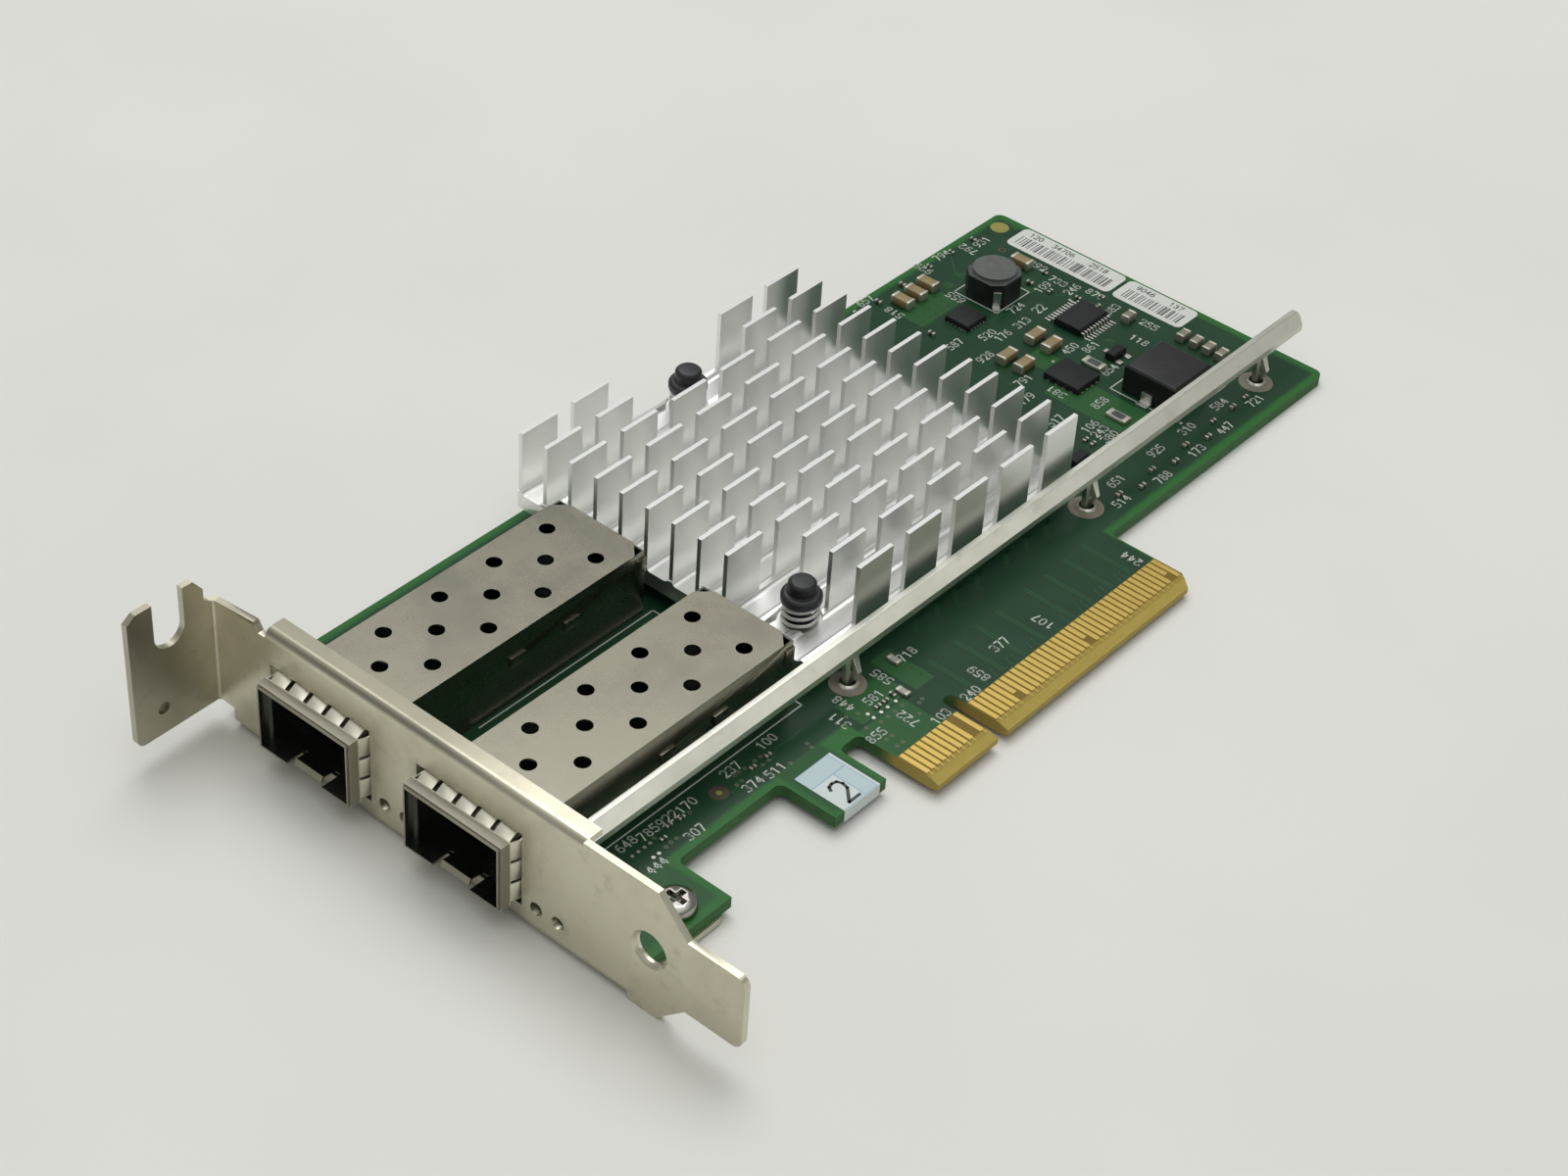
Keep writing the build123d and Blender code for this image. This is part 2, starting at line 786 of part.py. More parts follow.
# Status lights: small lamps on the board's edge, each with a lens in a bracket hole
with BuildPart() as status_lights:
    for port_y in (upper_port_y, lower_port_y):
        for offset_y in light_offsets:
            lamp_y = port_y + offset_y
            spanned_box(
                (light_body_left, lamp_y - light_body_width / 2, board_top),
                (light_body_right, lamp_y + light_body_width / 2, board_top + light_body_height),
            )
            with Locations(Location(Plane(origin=(light_body_left, lamp_y, light_z), z_dir=(-1, 0, 0)))):
                Cylinder(lens_radius, lens_reach, align=CENTRED_ON_FLOOR)
status_lights.part.label = "status_lights"
export_step(status_lights.part, "parts/status_lights.step")


# Heatsink: a comb-shaped extrusion cut across into columns of thin fins
def fin_row_y(row):
    """Middle of one fin row, counted from the board's upper edge."""
    return sink_high_y - fin_thickness / 2 - fin_row_pitch * row


with BuildPart() as heatsink:
    spanned_box((sink_left, sink_low_y, sink_base_low_z), (sink_right, sink_high_y, sink_base_high_z))
    with BuildSketch(Plane.YZ.offset(sink_left)):
        for row in range(fin_rows):
            row_y = fin_row_y(row)
            with Locations((row_y, sink_base_high_z)):
                Rectangle(fin_thickness, fin_top - sink_base_high_z, align=(Align.CENTER, Align.MIN))
        # rounded roots on the sides that face another fin
        for row in range(fin_rows - 1):
            for side, neighbour in ((-1, row), (1, row + 1)):
                root_y = fin_row_y(neighbour) + side * fin_thickness / 2
                with BuildLine():
                    Line((root_y, sink_base_high_z + fin_root_radius), (root_y, sink_base_high_z))
                    Line((root_y, sink_base_high_z), (root_y + side * fin_root_radius, sink_base_high_z))
                    RadiusArc(
                        (root_y + side * fin_root_radius, sink_base_high_z),
                        (root_y, sink_base_high_z + fin_root_radius),
                        side * fin_root_radius,
                    )
                make_face()
    extrude(amount=sink_right - sink_left)
    # saw cuts across the rows leave a low stub of each fin
    stub_top = sink_base_high_z + fin_stub_height
    for column in range(fin_columns + 1):
        cut_start = sink_left if column == 0 else fin_first_x + fin_column_pitch * (column - 1) + fin_length
        cut_end = sink_right if column == fin_columns else fin_first_x + fin_column_pitch * column
        spanned_box((cut_start, sink_low_y, stub_top), (cut_end, sink_high_y, fin_top), mode=Mode.SUBTRACT)
    for column, row in missing_fins:
        fin_x = fin_first_x + fin_column_pitch * column
        clear_y = fin_thickness / 2 + fin_root_radius
        low_y = max(fin_row_y(row) - clear_y, sink_low_y)
        high_y = min(fin_row_y(row) + clear_y, sink_high_y)
        spanned_box((fin_x, low_y, stub_top), (fin_x + fin_length, high_y, fin_top), mode=Mode.SUBTRACT)
    for x, y in push_pin_places:
        upright_cut(x, y, sink_hole_radius, sink_base_low_z, sink_base_high_z)
        upright_cut(x, y, sink_spot_radius, sink_base_high_z, fin_top)
heatsink.part.label = "heatsink"
export_step(heatsink.part, "parts/heatsink.step")


# Controller chip and thermal pad between board and heatsink
with BuildPart() as controller_chip:
    standing_box(controller_x, controller_y, board_top, controller_size, controller_size,
                 controller_height - controller_lid_height)
    standing_box(controller_x, controller_y, board_top + controller_height - controller_lid_height,
                 controller_lid_size, controller_lid_size, controller_lid_height)
controller_chip.part.label = "controller_chip"
export_step(controller_chip.part, "parts/controller_chip.step")

with BuildPart() as thermal_pad:
    pad_low_z = board_top + controller_height
    standing_box(controller_x, controller_y, pad_low_z, thermal_pad_size, thermal_pad_size,
                 sink_base_low_z - pad_low_z)
thermal_pad.part.label = "thermal_pad"
export_step(thermal_pad.part, "parts/thermal_pad.step")


# Push-pins: turned plastic pins with a shoulder over the spring and a knob on top
with BuildPart() as push_pins:
    for x, y in push_pin_places:
        with BuildSketch(Plane(origin=(x, y, 0), x_dir=(1, 0, 0), z_dir=(0, -1, 0))) as half_pin:
            with BuildLine():
                Polyline(
                    (0, pin_tip_z),
                    (pin_shank_radius - pin_round, pin_tip_z),
                    (pin_shank_radius, pin_tip_z + pin_round),
                    (pin_shank_radius, pin_shoulder_low_z),
                    (pin_shoulder_radius, pin_shoulder_low_z),
                    (pin_shoulder_radius, pin_shoulder_high_z - pin_round),
                    (pin_shoulder_radius - pin_round, pin_shoulder_high_z),
                    (pin_knob_radius, pin_shoulder_high_z),
                    (pin_knob_radius, pin_knob_top_z - pin_round),
                    (pin_knob_radius - pin_round, pin_knob_top_z),
                    (0, pin_knob_top_z),
                    close=True,
                )
            make_face()
        revolve(half_pin.sketch, axis=Axis((x, y, 0), (0, 0, 1)))
push_pins.part.label = "push_pins"
export_step(push_pins.part, "parts/push_pins.step")

with BuildPart() as push_pin_springs:
    spring_height = pin_shoulder_low_z - sink_base_high_z
    coil_pitch = (spring_height - spring_wire) / spring_coils
    for x, y in push_pin_places:
        for turn in range(spring_coils + 1):
            with BuildSketch(Plane.XY.offset(sink_base_high_z + coil_pitch * turn)) as coil:
                with Locations((x, y)):
                    RegularPolygon(spring_outer_radius, spring_sides)
                    RegularPolygon(spring_outer_radius - spring_wire, spring_sides, mode=Mode.SUBTRACT)
            extrude(coil.sketch, amount=spring_wire)
push_pin_springs.part.label = "push_pin_springs"
export_step(push_pin_springs.part, "parts/push_pin_springs.step")


# Stiffener rail: a strip that leans back over its upright lower edge, on three two-prong feet
def foot_prong(foot_x, side, bow):
    """Add one tapering prong from the rail down into the board; bow moves its middle towards -Y."""
    inner = foot_x + side * prong_gap / 2
    top_outer = inner + side * prong_width_top
    tip_outer = inner + side * prong_width_tip
    with BuildSketch(Plane.YZ.offset(min(inner, top_outer))) as side_view:
        with BuildLine():
            Polyline(
                (rail_outer_y, rail_low_z),
                (rail_outer_y - bow, prong_bow_z),
                (rail_outer_y, board_top),
                (rail_outer_y, -board_top),
                (rail_outer_y + rail_sheet, -board_top),
                (rail_outer_y + rail_sheet, board_top),
                (rail_outer_y + rail_sheet - bow, prong_bow_z),
                (rail_outer_y + rail_sheet, rail_low_z),
                close=True,
            )
        make_face()
    extrude(side_view.sketch, amount=prong_width_top)
    # taper on the outer edge
    with BuildSketch(Plane.XZ.offset(-(rail_outer_y + rail_sheet))) as taper:
        with BuildLine():
            Polyline(
                (top_outer, rail_low_z),
                (top_outer, -board_top),
                (tip_outer, -board_top),
                (tip_outer, board_top + solder_height),
                close=True,
            )
        make_face()
    extrude(taper.sketch, amount=rail_sheet + bow, mode=Mode.SUBTRACT)


with BuildPart() as stiffener_rail:
    with BuildSketch(Plane.YZ.offset(rail_left)):
        with BuildLine():
            Polyline(
                (rail_outer_y, rail_low_z),
                (rail_outer_y, rail_bend_z),
                (rail_outer_y + rail_lean, rail_high_z),
                (rail_outer_y + rail_lean + rail_sheet, rail_high_z),
                (rail_outer_y + rail_sheet, rail_bend_z),
                (rail_outer_y + rail_sheet, rail_low_z),
                close=True,
            )
        make_face()
    extrude(amount=rail_right - rail_left)
    fillet(stiffener_rail.edges().filter_by(Axis.Y).group_by(Axis.X)[-1].group_by(Axis.Z)[-1], rail_end_corner)
    for foot_x in rail_foot_xs:
        foot_prong(foot_x, -1, 0)
        foot_prong(foot_x, 1, prong_bow)
stiffener_rail.part.label = "stiffener_rail"
export_step(stiffener_rail.part, "parts/stiffener_rail.step")

# Solder joints: a flat ring pad with a low cone of solder round each foot
with BuildPart() as rail_solder:
    for foot_x in rail_foot_xs:
        with BuildSketch(Plane(origin=(foot_x, foot_center_y, 0), x_dir=(1, 0, 0), z_dir=(0, -1, 0))) as half_joint:
            with BuildLine():
                Polyline(
                    (solder_inner_radius, board_top),
                    (ring_pad_radius, board_top),
                    (ring_pad_radius, board_top + contact_thickness),
                    (solder_outer_radius, board_top + contact_thickness),
                    (solder_inner_radius, board_top + solder_height),
                    close=True,
                )
            make_face()
        revolve(half_joint.sketch, axis=Axis((foot_x, foot_center_y, 0), (0, 0, 1)))
rail_solder.part.label = "rail_solder"
export_step(rail_solder.part, "parts/rail_solder.step")


# Power inductor: square body with cut corners and a round cap, and its side lead
with BuildPart() as power_inductor:
    with BuildSketch(Plane.XY.offset(board_top)):
        with Locations((inductor_x, inductor_y)):
            Rectangle(inductor_size, inductor_size)
        chamfer(vertices(), inductor_corner)
    extrude(amount=inductor_body_top - board_top)
    with Locations((inductor_x, inductor_y, inductor_body_top)):
        Cylinder(inductor_disc_radius, inductor_top - inductor_body_top, align=CENTRED_ON_FLOOR)
power_inductor.part.label = "power_inductor"
export_step(power_inductor.part, "parts/power_inductor.step")

with BuildPart() as inductor_lead:
    # the lead runs down the cut corner that faces the bracket and the contact edge
    corner_reach = (inductor_size - inductor_corner) / math.sqrt(2)
    corner_plane = Plane(origin=(inductor_x, inductor_y, board_top), x_dir=(-1, -1, 0), z_dir=(-1, 1, 0))
    with BuildSketch(corner_plane.offset(-inductor_lead_width / 2)):
        with BuildLine():
            Polyline(
                (corner_reach, 0),
                (corner_reach + inductor_lead_foot, 0),
                (corner_reach + inductor_lead_foot, inductor_lead_thickness),
                (corner_reach + inductor_lead_thickness, inductor_lead_thickness),
                (corner_reach + inductor_lead_thickness, inductor_lead_height),
                (corner_reach, inductor_lead_height),
                close=True,
            )
        make_face()
    extrude(amount=inductor_lead_width)
inductor_lead.part.label = "inductor_lead"
export_step(inductor_lead.part, "parts/inductor_lead.step")


# Chips without leads: flat moulded bodies with a slight edge
def flat_chip(chip_box, standoff=0):
    """Build one moulded chip body."""
    x, y, length, width, height = chip_box
    with BuildPart() as body:
        standing_box(x, y, board_top + standoff, length, width, height)
        chamfer(body.edges().group_by(Axis.Z)[-1], chip_edge)
    return body


for chip_name, chip_box in (
    ("regulator_chip", regulator_chip_box),
    ("memory_chip", memory_chip_box),
    ("small_regulator", small_regulator_box),
):
    chip = flat_chip(chip_box)
    chip.part.label = chip_name
    export_step(chip.part, f"parts/{chip_name}.step")


# Chip with two rows of gull-wing leads
logic_chip = flat_chip((logic_x, logic_y, logic_length, logic_width, logic_height), logic_standoff)
logic_chip.part.label = "logic_chip"
export_step(logic_chip.part, "parts/logic_chip.step")

with BuildPart() as logic_chip_leads:
    lead_high_z = board_top + logic_standoff + lead_rise
    for side in (1, -1):
        body_y = logic_y + side * logic_width / 2
        bend_y = body_y + side * lead_shoulder
        end_y = logic_y + side * lead_span / 2
        for i in range(leads_per_side):
            lead_x = logic_x + lead_pitch * (i - (leads_per_side - 1) / 2)
            with BuildSketch(Plane.YZ.offset(lead_x - lead_width / 2)):
                with BuildLine():
                    Polyline(
                        (body_y, lead_high_z),
                        (bend_y + side * lead_thickness, lead_high_z),
                        (bend_y + side * 2 * lead_thickness, board_top + lead_thickness),
                        (end_y, board_top + lead_thickness),
                        (end_y, board_top),
                        (bend_y + side * lead_thickness, board_top),
                        (bend_y, lead_high_z - lead_thickness),
                        (body_y, lead_high_z - lead_thickness),
                        close=True,
                    )
                make_face()
            extrude(amount=lead_width)
logic_chip_leads.part.label = "logic_chip_leads"
export_step(logic_chip_leads.part, "parts/logic_chip_leads.step")

# Transistor
transistor = flat_chip((transistor_x, transistor_y, transistor_length, transistor_width, transistor_height))
transistor.part.label = "transistor"
export_step(transistor.part, "parts/transistor.step")

# Moulded magnetics module and its two wide leads
choke_box = (
    (choke_left + choke_right) / 2,
    (choke_low_y + choke_high_y) / 2,
    choke_right - choke_left,
    choke_high_y - choke_low_y,
    choke_top - board_top,
)
with BuildPart() as choke_module:
    standing_box(choke_box[0], choke_box[1], board_top, *choke_box[2:])
    chamfer(choke_module.edges().group_by(Axis.Z)[-1], choke_edge)
choke_module.part.label = "choke_module"
export_step(choke_module.part, "parts/choke_module.step")

with BuildPart() as choke_leads:
    for side, wall_x in ((-1, choke_left), (1, choke_right)):
        with BuildSketch(Plane.XZ.offset(-(choke_lead_y + choke_lead_width / 2))):
            with BuildLine():
                Polyline(
                    (wall_x, board_top),
                    (wall_x, board_top + choke_lead_height),
                    (wall_x + side * choke_lead_thickness, board_top + choke_lead_height),
                    (wall_x + side * choke_lead_thickness, board_top + choke_lead_thickness),
                    (wall_x + side * choke_lead_reach, board_top + choke_lead_thickness),
                    (wall_x + side * choke_lead_reach, board_top),
                    close=True,
                )
            make_face()
        extrude(amount=choke_lead_width)
choke_leads.part.label = "choke_leads"
export_step(choke_leads.part, "parts/choke_leads.step")


# Capacitors and resistors: bars with slightly thicker plated ends
def plated_bar(x, y, size, along_y):
    """Add one bar with its plated ends, lying along X or Y."""
    length, width, height, end_length = size
    body_length = length - 2 * end_length
    reach = (length - end_length) / 2
    thick_width = width + 2 * end_plating
    thick_height = height + end_plating
    if along_y:
        standing_box(x, y, board_top, width, body_length, height)
        for side in (1, -1):
            standing_box(x, y + side * reach, board_top, thick_width, end_length, thick_height)
    else:
        standing_box(x, y, board_top, body_length, width, height)
        for side in (1, -1):
            standing_box(x + side * reach, y, board_top, end_length, thick_width, thick_height)


with BuildPart() as large_capacitors:
    for x, y in tan_places_y:
        plated_bar(x, y, tan_size, True)
    for x, y in tan_places_x:
        plated_bar(x, y, tan_size, False)
large_capacitors.part.label = "large_capacitors"
export_step(large_capacitors.part, "parts/large_capacitors.step")

with BuildPart() as grey_capacitors:
    for x, y in grey_places:
        plated_bar(x, y, grey_size, False)
grey_capacitors.part.label = "grey_capacitors"
export_step(grey_capacitors.part, "parts/grey_capacitors.step")

with BuildPart() as chip_resistors:
    for x, y in resistor_places:
        plated_bar(x, y, resistor_size, True)
chip_resistors.part.label = "chip_resistors"
export_step(chip_resistors.part, "parts/chip_resistors.step")

with BuildPart() as small_capacitors:
    for x, y in small_places_y:
        plated_bar(x, y, small_size, True)
    for x, y in small_places_x:
        plated_bar(x, y, small_size, False)
small_capacitors.part.label = "small_capacitors"
export_step(small_capacitors.part, "parts/small_capacitors.step")


# Bar-code labels near the far edge
with BuildPart() as bar_labels:
    for low_y, high_y in label_spans:
        label_x = board_right - label_margin - label_width / 2
        standing_box(label_x, (low_y + high_y) / 2, board_top, label_width, high_y - low_y, label_thickness)
bar_labels.part.label = "bar_labels"
export_step(bar_labels.part, "parts/bar_labels.step")

# Folded sticker round the retention hook's lower edge
with BuildPart() as hook_sticker:
    with BuildSketch(Plane.YZ.offset(sticker_left)):
        with BuildLine():
            Polyline(
                (sticker_high_y, board_top),
                (sticker_high_y, board_top + sticker_thickness),
                (hook_low - sticker_thickness, board_top + sticker_thickness),
                (hook_low - sticker_thickness, -board_top - sticker_thickness),
                (sticker_back_y, -board_top - sticker_thickness),
                (sticker_back_y, -board_top),
                (hook_low, -board_top),
                (hook_low, board_top),
                close=True,
            )
        make_face()
    extrude(amount=sticker_right - sticker_left)
hook_sticker.part.label = "hook_sticker"
export_step(hook_sticker.part, "parts/hook_sticker.step")
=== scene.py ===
import math

import bmesh
import bpy
import numpy as np
from mathutils import Matrix, Vector


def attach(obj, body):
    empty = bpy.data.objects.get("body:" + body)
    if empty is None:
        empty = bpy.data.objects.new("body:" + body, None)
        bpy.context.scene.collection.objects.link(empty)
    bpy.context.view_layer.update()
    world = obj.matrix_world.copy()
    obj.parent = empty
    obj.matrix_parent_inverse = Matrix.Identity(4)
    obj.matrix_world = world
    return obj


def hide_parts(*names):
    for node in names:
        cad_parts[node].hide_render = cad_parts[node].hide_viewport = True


# %% [markdown]
# # Dressing a plug-in network card
# The shapes of the card come from a CAD model: board, bracket, cages, heatsink, rail and chips.
# This file gives them their finishes and adds the fine things that CAD leaves out.
# Loading the frame first means that every later step can ask where a piece is.

# %% Load the frame
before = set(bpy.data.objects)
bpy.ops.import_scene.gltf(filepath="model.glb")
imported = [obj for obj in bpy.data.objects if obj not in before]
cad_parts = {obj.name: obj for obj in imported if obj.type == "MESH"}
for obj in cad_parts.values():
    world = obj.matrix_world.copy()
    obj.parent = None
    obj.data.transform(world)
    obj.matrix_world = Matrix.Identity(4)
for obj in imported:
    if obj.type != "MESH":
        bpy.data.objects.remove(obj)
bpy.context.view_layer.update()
MM = 0.001
scene = bpy.context.scene
print("frame loaded:", len(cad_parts), "nodes")

# %% [markdown]
# ## The camera
# A camera is a place, three directions and a lens. These were found by matching known sizes on the
# card, such as the contact pitch, with the picture. Writing the three directions as a matrix is
# simpler than angles, because nothing has to be converted.

# %% Camera
camera_place = Vector((-0.231754, -0.147358, 0.244214))
camera_right = Vector((0.65095768, -0.75702566, 0.05626948))
camera_down = Vector((-0.45325658, -0.44707017, -0.77115934))
camera_forward = Vector((0.60894381, 0.47648759, -0.63415062))
camera_lens = 71.97

camera_data = bpy.data.cameras.new("camera")
camera_data.lens = camera_lens
camera_data.sensor_width = 36
camera_data.clip_start = 0.01
camera = bpy.data.objects.new("camera", camera_data)
turn = Matrix((camera_right, -camera_down, -camera_forward)).transposed().to_4x4()
camera.matrix_world = Matrix.Translation(camera_place) @ turn
scene.collection.objects.link(camera)
scene.camera = camera
scene.view_settings.view_transform = "Standard"
print("camera lens", camera_lens, "mm")

# %% [markdown]
# ## Wires: shader formulas in plain Python
# A material is a graph of small nodes. Building it link by link is hard to read, so one class wraps
# an output socket, and Python's own operators on it add Math nodes. A mask then reads like a formula.
# Colours go through Mix nodes, because a Math node would turn them grey.

# %% The wire class
class Wire:
    """One output of a shader node. Operators on it add Math nodes."""

    def __init__(self, tree, socket=None):
        self.tree = tree
        self.socket = socket

    def node(self, kind, settings=None, inputs=None, out=0):
        """Add a node: its settings first, then a value or a wire for each input."""
        made = self.tree.nodes.new(kind)
        for key, value in (settings or {}).items():
            setattr(made, key, value)
        for key, value in (inputs or {}).items():
            if isinstance(value, Wire):
                self.tree.links.new(value.socket, made.inputs[key])
            else:
                made.inputs[key].default_value = value
        return Wire(self.tree, made.outputs[out])

    def __add__(self, other):
        return maths("ADD", self, other)

    def __radd__(self, other):
        return maths("ADD", other, self)

    def __sub__(self, other):
        return maths("SUBTRACT", self, other)

    def __rsub__(self, other):
        return maths("SUBTRACT", other, self)

    def __mul__(self, other):
        return maths("MULTIPLY", self, other)

    def __rmul__(self, other):
        return maths("MULTIPLY", other, self)

    def __abs__(self):
        return maths("ABSOLUTE", self)


def maths(operation, *values):
    """Add one Math node for the operation on numbers and wires."""
    lead = next(value for value in values if isinstance(value, Wire))
    return lead.node("ShaderNodeMath", {"operation": operation}, dict(enumerate(values)))


print("wires ready")

# %% [markdown]
# A mask is a wire that is 1 inside a region and 0 outside it. It says where a finish lies, and a Mix
# node picks between two colours by it.

# %% Masks and colours
def rising(value, low, high):
    """0 below low, 1 above high, and a smooth slope between."""
    settings = {"interpolation_type": "SMOOTHSTEP"}
    return value.node("ShaderNodeMapRange", settings, {0: value, 1: low, 2: high})


def between(value, low, high, soft=0.1):
    """1 between low and high, 0 outside, with soft edges."""
    return rising(value, low - soft, low + soft) * (1 - rising(value, high - soft, high + soft))


def either(first, second):
    """The larger of two masks."""
    return maths("MAXIMUM", first, second)


def nearest(value, places):
    """The distance from a coordinate to the nearest of a few places."""
    found = abs(value - places[0])
    for place in places[1:]:
        found = maths("MINIMUM", found, abs(value - place))
    return found


def blend(mask, first, second):
    """Mix two colours, given as wires or as red, green, blue."""
    pick = [c if isinstance(c, Wire) else (*c, 1) for c in (first, second)]
    return mask.node("ShaderNodeMix", {"data_type": "RGBA"}, {0: mask, 6: pick[0], 7: pick[1]}, out=2)


print("masks ready")

# %% [markdown]
# Stains, grain and scratches are noise, read at a point of the piece. The point comes in millimetres,
# so the size of a pattern can be compared with the real card.

# %% Points and patterns
def axes(point):
    """The three coordinates of a point as separate wires."""
    split = point.node("ShaderNodeSeparateXYZ", None, {0: point})
    return [Wire(point.tree, socket) for socket in split.socket.node.outputs]


def stretched(point, x, y, z):
    """The point with each coordinate multiplied, to draw a pattern out in one direction."""
    return point.node("ShaderNodeVectorMath", {"operation": "MULTIPLY"}, {0: point, 1: (x, y, z)})


def noise(point, size, detail=2.0, roughness=0.5):
    """Cloudy noise whose blobs are about size millimetres."""
    values = {"Vector": point, "Scale": 1 / size, "Detail": detail, "Roughness": roughness}
    return point.node("ShaderNodeTexNoise", None, values)


def bump(height, depth, strength=1.0):
    """A normal that follows a height mask, depth in millimetres."""
    values = {"Height": height, "Distance": depth * MM, "Strength": strength}
    return height.node("ShaderNodeBump", None, values)


def surface(color, rough, height, depth, strength=0.5, **more):
    """What most recipes return: the colour, the gloss and a normal that follows a height."""
    return {"Base Color": color, "Roughness": rough, "Normal": bump(height, depth, strength), **more}


print("patterns ready")

# %% [markdown]
# ## Finishes
# What is the same all over a piece goes into the shader's own sockets as a number. What varies comes
# from a recipe: a function that is given the point and returns a wire for each socket that it feeds.

# %% Making a material
def finish(name, recipe, **plain):
    """Make a material. Plain sockets get numbers; recipe(point) returns the wires that vary."""
    material = bpy.data.materials.new(name)
    material.use_nodes = True
    tree = material.node_tree
    shader = tree.nodes["Principled BSDF"]
    for socket, value in plain.items():
        shader.inputs[socket.replace("_", " ")].default_value = value
    place = Wire(tree).node("ShaderNodeTexCoord", out="Object")
    point = place.node("ShaderNodeVectorMath", {"operation": "SCALE"}, {0: place, "Scale": 1 / MM})
    for socket, wire in recipe(point).items():
        tree.links.new(wire.socket, shader.inputs[socket])
    print("finish:", name, len(tree.nodes), "nodes")
    return material


print("materials ready")

# %% [markdown]
# ## The table
# The card lies on a pale table, but not quite level, because the bracket reaches lower than the board.
# A flat sheet through the two lines that the card rests on is enough, with a faint grain so that it
# doesn't look like plastic.

# %% Table
rest_low_x, rest_low_z = -0.0593, -0.0020
rest_far_x, rest_far_z = 0.0885, -0.00079
table_slope = (rest_far_z - rest_low_z) / (rest_far_x - rest_low_x)
table_half = 2.5


def table_recipe(point):
    grain = noise(point, 60, 3)
    fine = noise(point, 1.2, 2)
    return {
        "Base Color": blend(rising(grain, 0.3, 0.7), (0.700, 0.697, 0.665), (0.725, 0.720, 0.690)),
        "Normal": bump(fine, 0.02, 0.3),
    }


table_mesh = bpy.data.meshes.new("table")
corner = np.array([(-1, -1), (1, -1), (1, 1), (-1, 1)]) * table_half
table_z = rest_low_z + table_slope * (corner[:, 0] - rest_low_x)
table_mesh.from_pydata(np.c_[corner, table_z].tolist(), [], [(0, 1, 2, 3)])
table = bpy.data.objects.new("table", table_mesh)
scene.collection.objects.link(table)
table_mesh.materials.append(finish("table_top", table_recipe, Roughness=0.55))
print("table slope:", round(table_slope, 4))

# %% [markdown]
# ## The light
# A broad lamp overhead makes the soft shadow, and a weaker one fills the front. Metal shows what it
# mirrors, so the sky is graded: bright above and darker near the horizon, with a pale window low down
# in front of the contact edge. The camera itself sees a plain pale backdrop.

# %% Lights
def soft_lamp(name, place, aim, size, power):
    """A square area lamp at place, pointing at aim."""
    data = bpy.data.lights.new(name, "AREA")
    data.shape = "SQUARE"
    data.size = size
    data.energy = power
    lamp = bpy.data.objects.new(name, data)
    lamp.location = place
    lamp.rotation_euler = (Vector(aim) - Vector(place)).to_track_quat("-Z", "Y").to_euler()
    scene.collection.objects.link(lamp)


soft_lamp("overhead", (0.32, 0.34, 1.00), (0.01, 0.03, 0), 0.8, 4.6)
soft_lamp("front_fill", (-0.75, -0.50, 0.55), (0, 0.03, 0), 0.6, 0.12)

HIGH_SKY = (1.25, 1.26, 1.24)
LOW_SKY = (0.315, 0.315, 0.305)
WINDOW = (0.95, 0.95, 0.92)
BACKDROP = (0.70, 0.70, 0.67)

world = bpy.data.worlds.new("studio")
world.use_nodes = True
scene.world = world
tree = world.node_tree
sky = Wire(tree)
ray = sky.node("ShaderNodeLightPath", out="Is Camera Ray")
east, north, height = axes(sky.node("ShaderNodeTexCoord", out="Generated"))
window = rising(0.30 * east - 0.95 * north, 0.76, 0.97) * (1 - rising(height, 0.15, 0.45))
lit = blend(rising(height, 0.60, 0.98), LOW_SKY, HIGH_SKY)
lit = blend(window, lit, WINDOW)
shown = blend(ray, lit, BACKDROP)
tree.links.new(shown.socket, tree.nodes["Background"].inputs["Color"])
print("lights and sky set")

# %% [markdown]
# ## Dressing a CAD node
# A CAD solid has perfectly sharp edges, but a real stamped or sawn edge is slightly round and shows a
# thin highlight. A merged copy of the node with a small Bevel modifier gets that highlight, and then
# stands for the node. Pieces whose edges don't matter keep their own mesh and only get a material.

# %% Helpers for dressing
def node_box(node):
    """The two corners of a CAD node in millimetres."""
    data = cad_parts[node].data
    points = np.empty(3 * len(data.vertices))
    data.vertices.foreach_get("co", points)
    points = points.reshape(-1, 3) / MM
    return points.min(0), points.max(0)


def dress(node, material):
    """Give a CAD node's own mesh one material."""
    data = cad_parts[node].data
    data.materials.clear()
    data.materials.append(material)


def add_piece(name, mesh, materials, stands_for=()):
    """Link a mesh as a piece of the card."""
    for material in materials:
        mesh.materials.append(material)
    piece = bpy.data.objects.new(name, mesh)
    scene.collection.objects.link(piece)
    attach(piece, "root")
    if stands_for:
        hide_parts(*stands_for)
    print("piece:", name, len(mesh.polygons), "faces")
    return piece


def edged(node, material, width, segments=2, angle=40):
    """Replace a node by a merged copy whose sharp edges are rounded by width millimetres."""
    touching = 1e-6
    flat = math.radians(0.6)
    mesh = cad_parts[node].data.copy()
    shape = bmesh.new()
    shape.from_mesh(mesh)
    bmesh.ops.remove_doubles(shape, verts=shape.verts, dist=touching)
    bmesh.ops.dissolve_limit(shape, angle_limit=flat, verts=shape.verts, edges=shape.edges)
    shape.to_mesh(mesh)
    shape.free()
    mesh.materials.clear()
    mesh.polygons.foreach_set("use_smooth", np.ones(len(mesh.polygons), bool))
    mesh.set_sharp_from_angle(angle=math.radians(angle))
    piece = add_piece(node + "_dressed", mesh, [material], stands_for=(node,))
    rounding = piece.modifiers.new("rounding", "BEVEL")
    rounding.width = width * MM
    rounding.segments = segments
    rounding.limit_method = "ANGLE"
    rounding.angle_limit = math.radians(angle)
    rounding.harden_normals = True
    return piece


print("dressing ready")

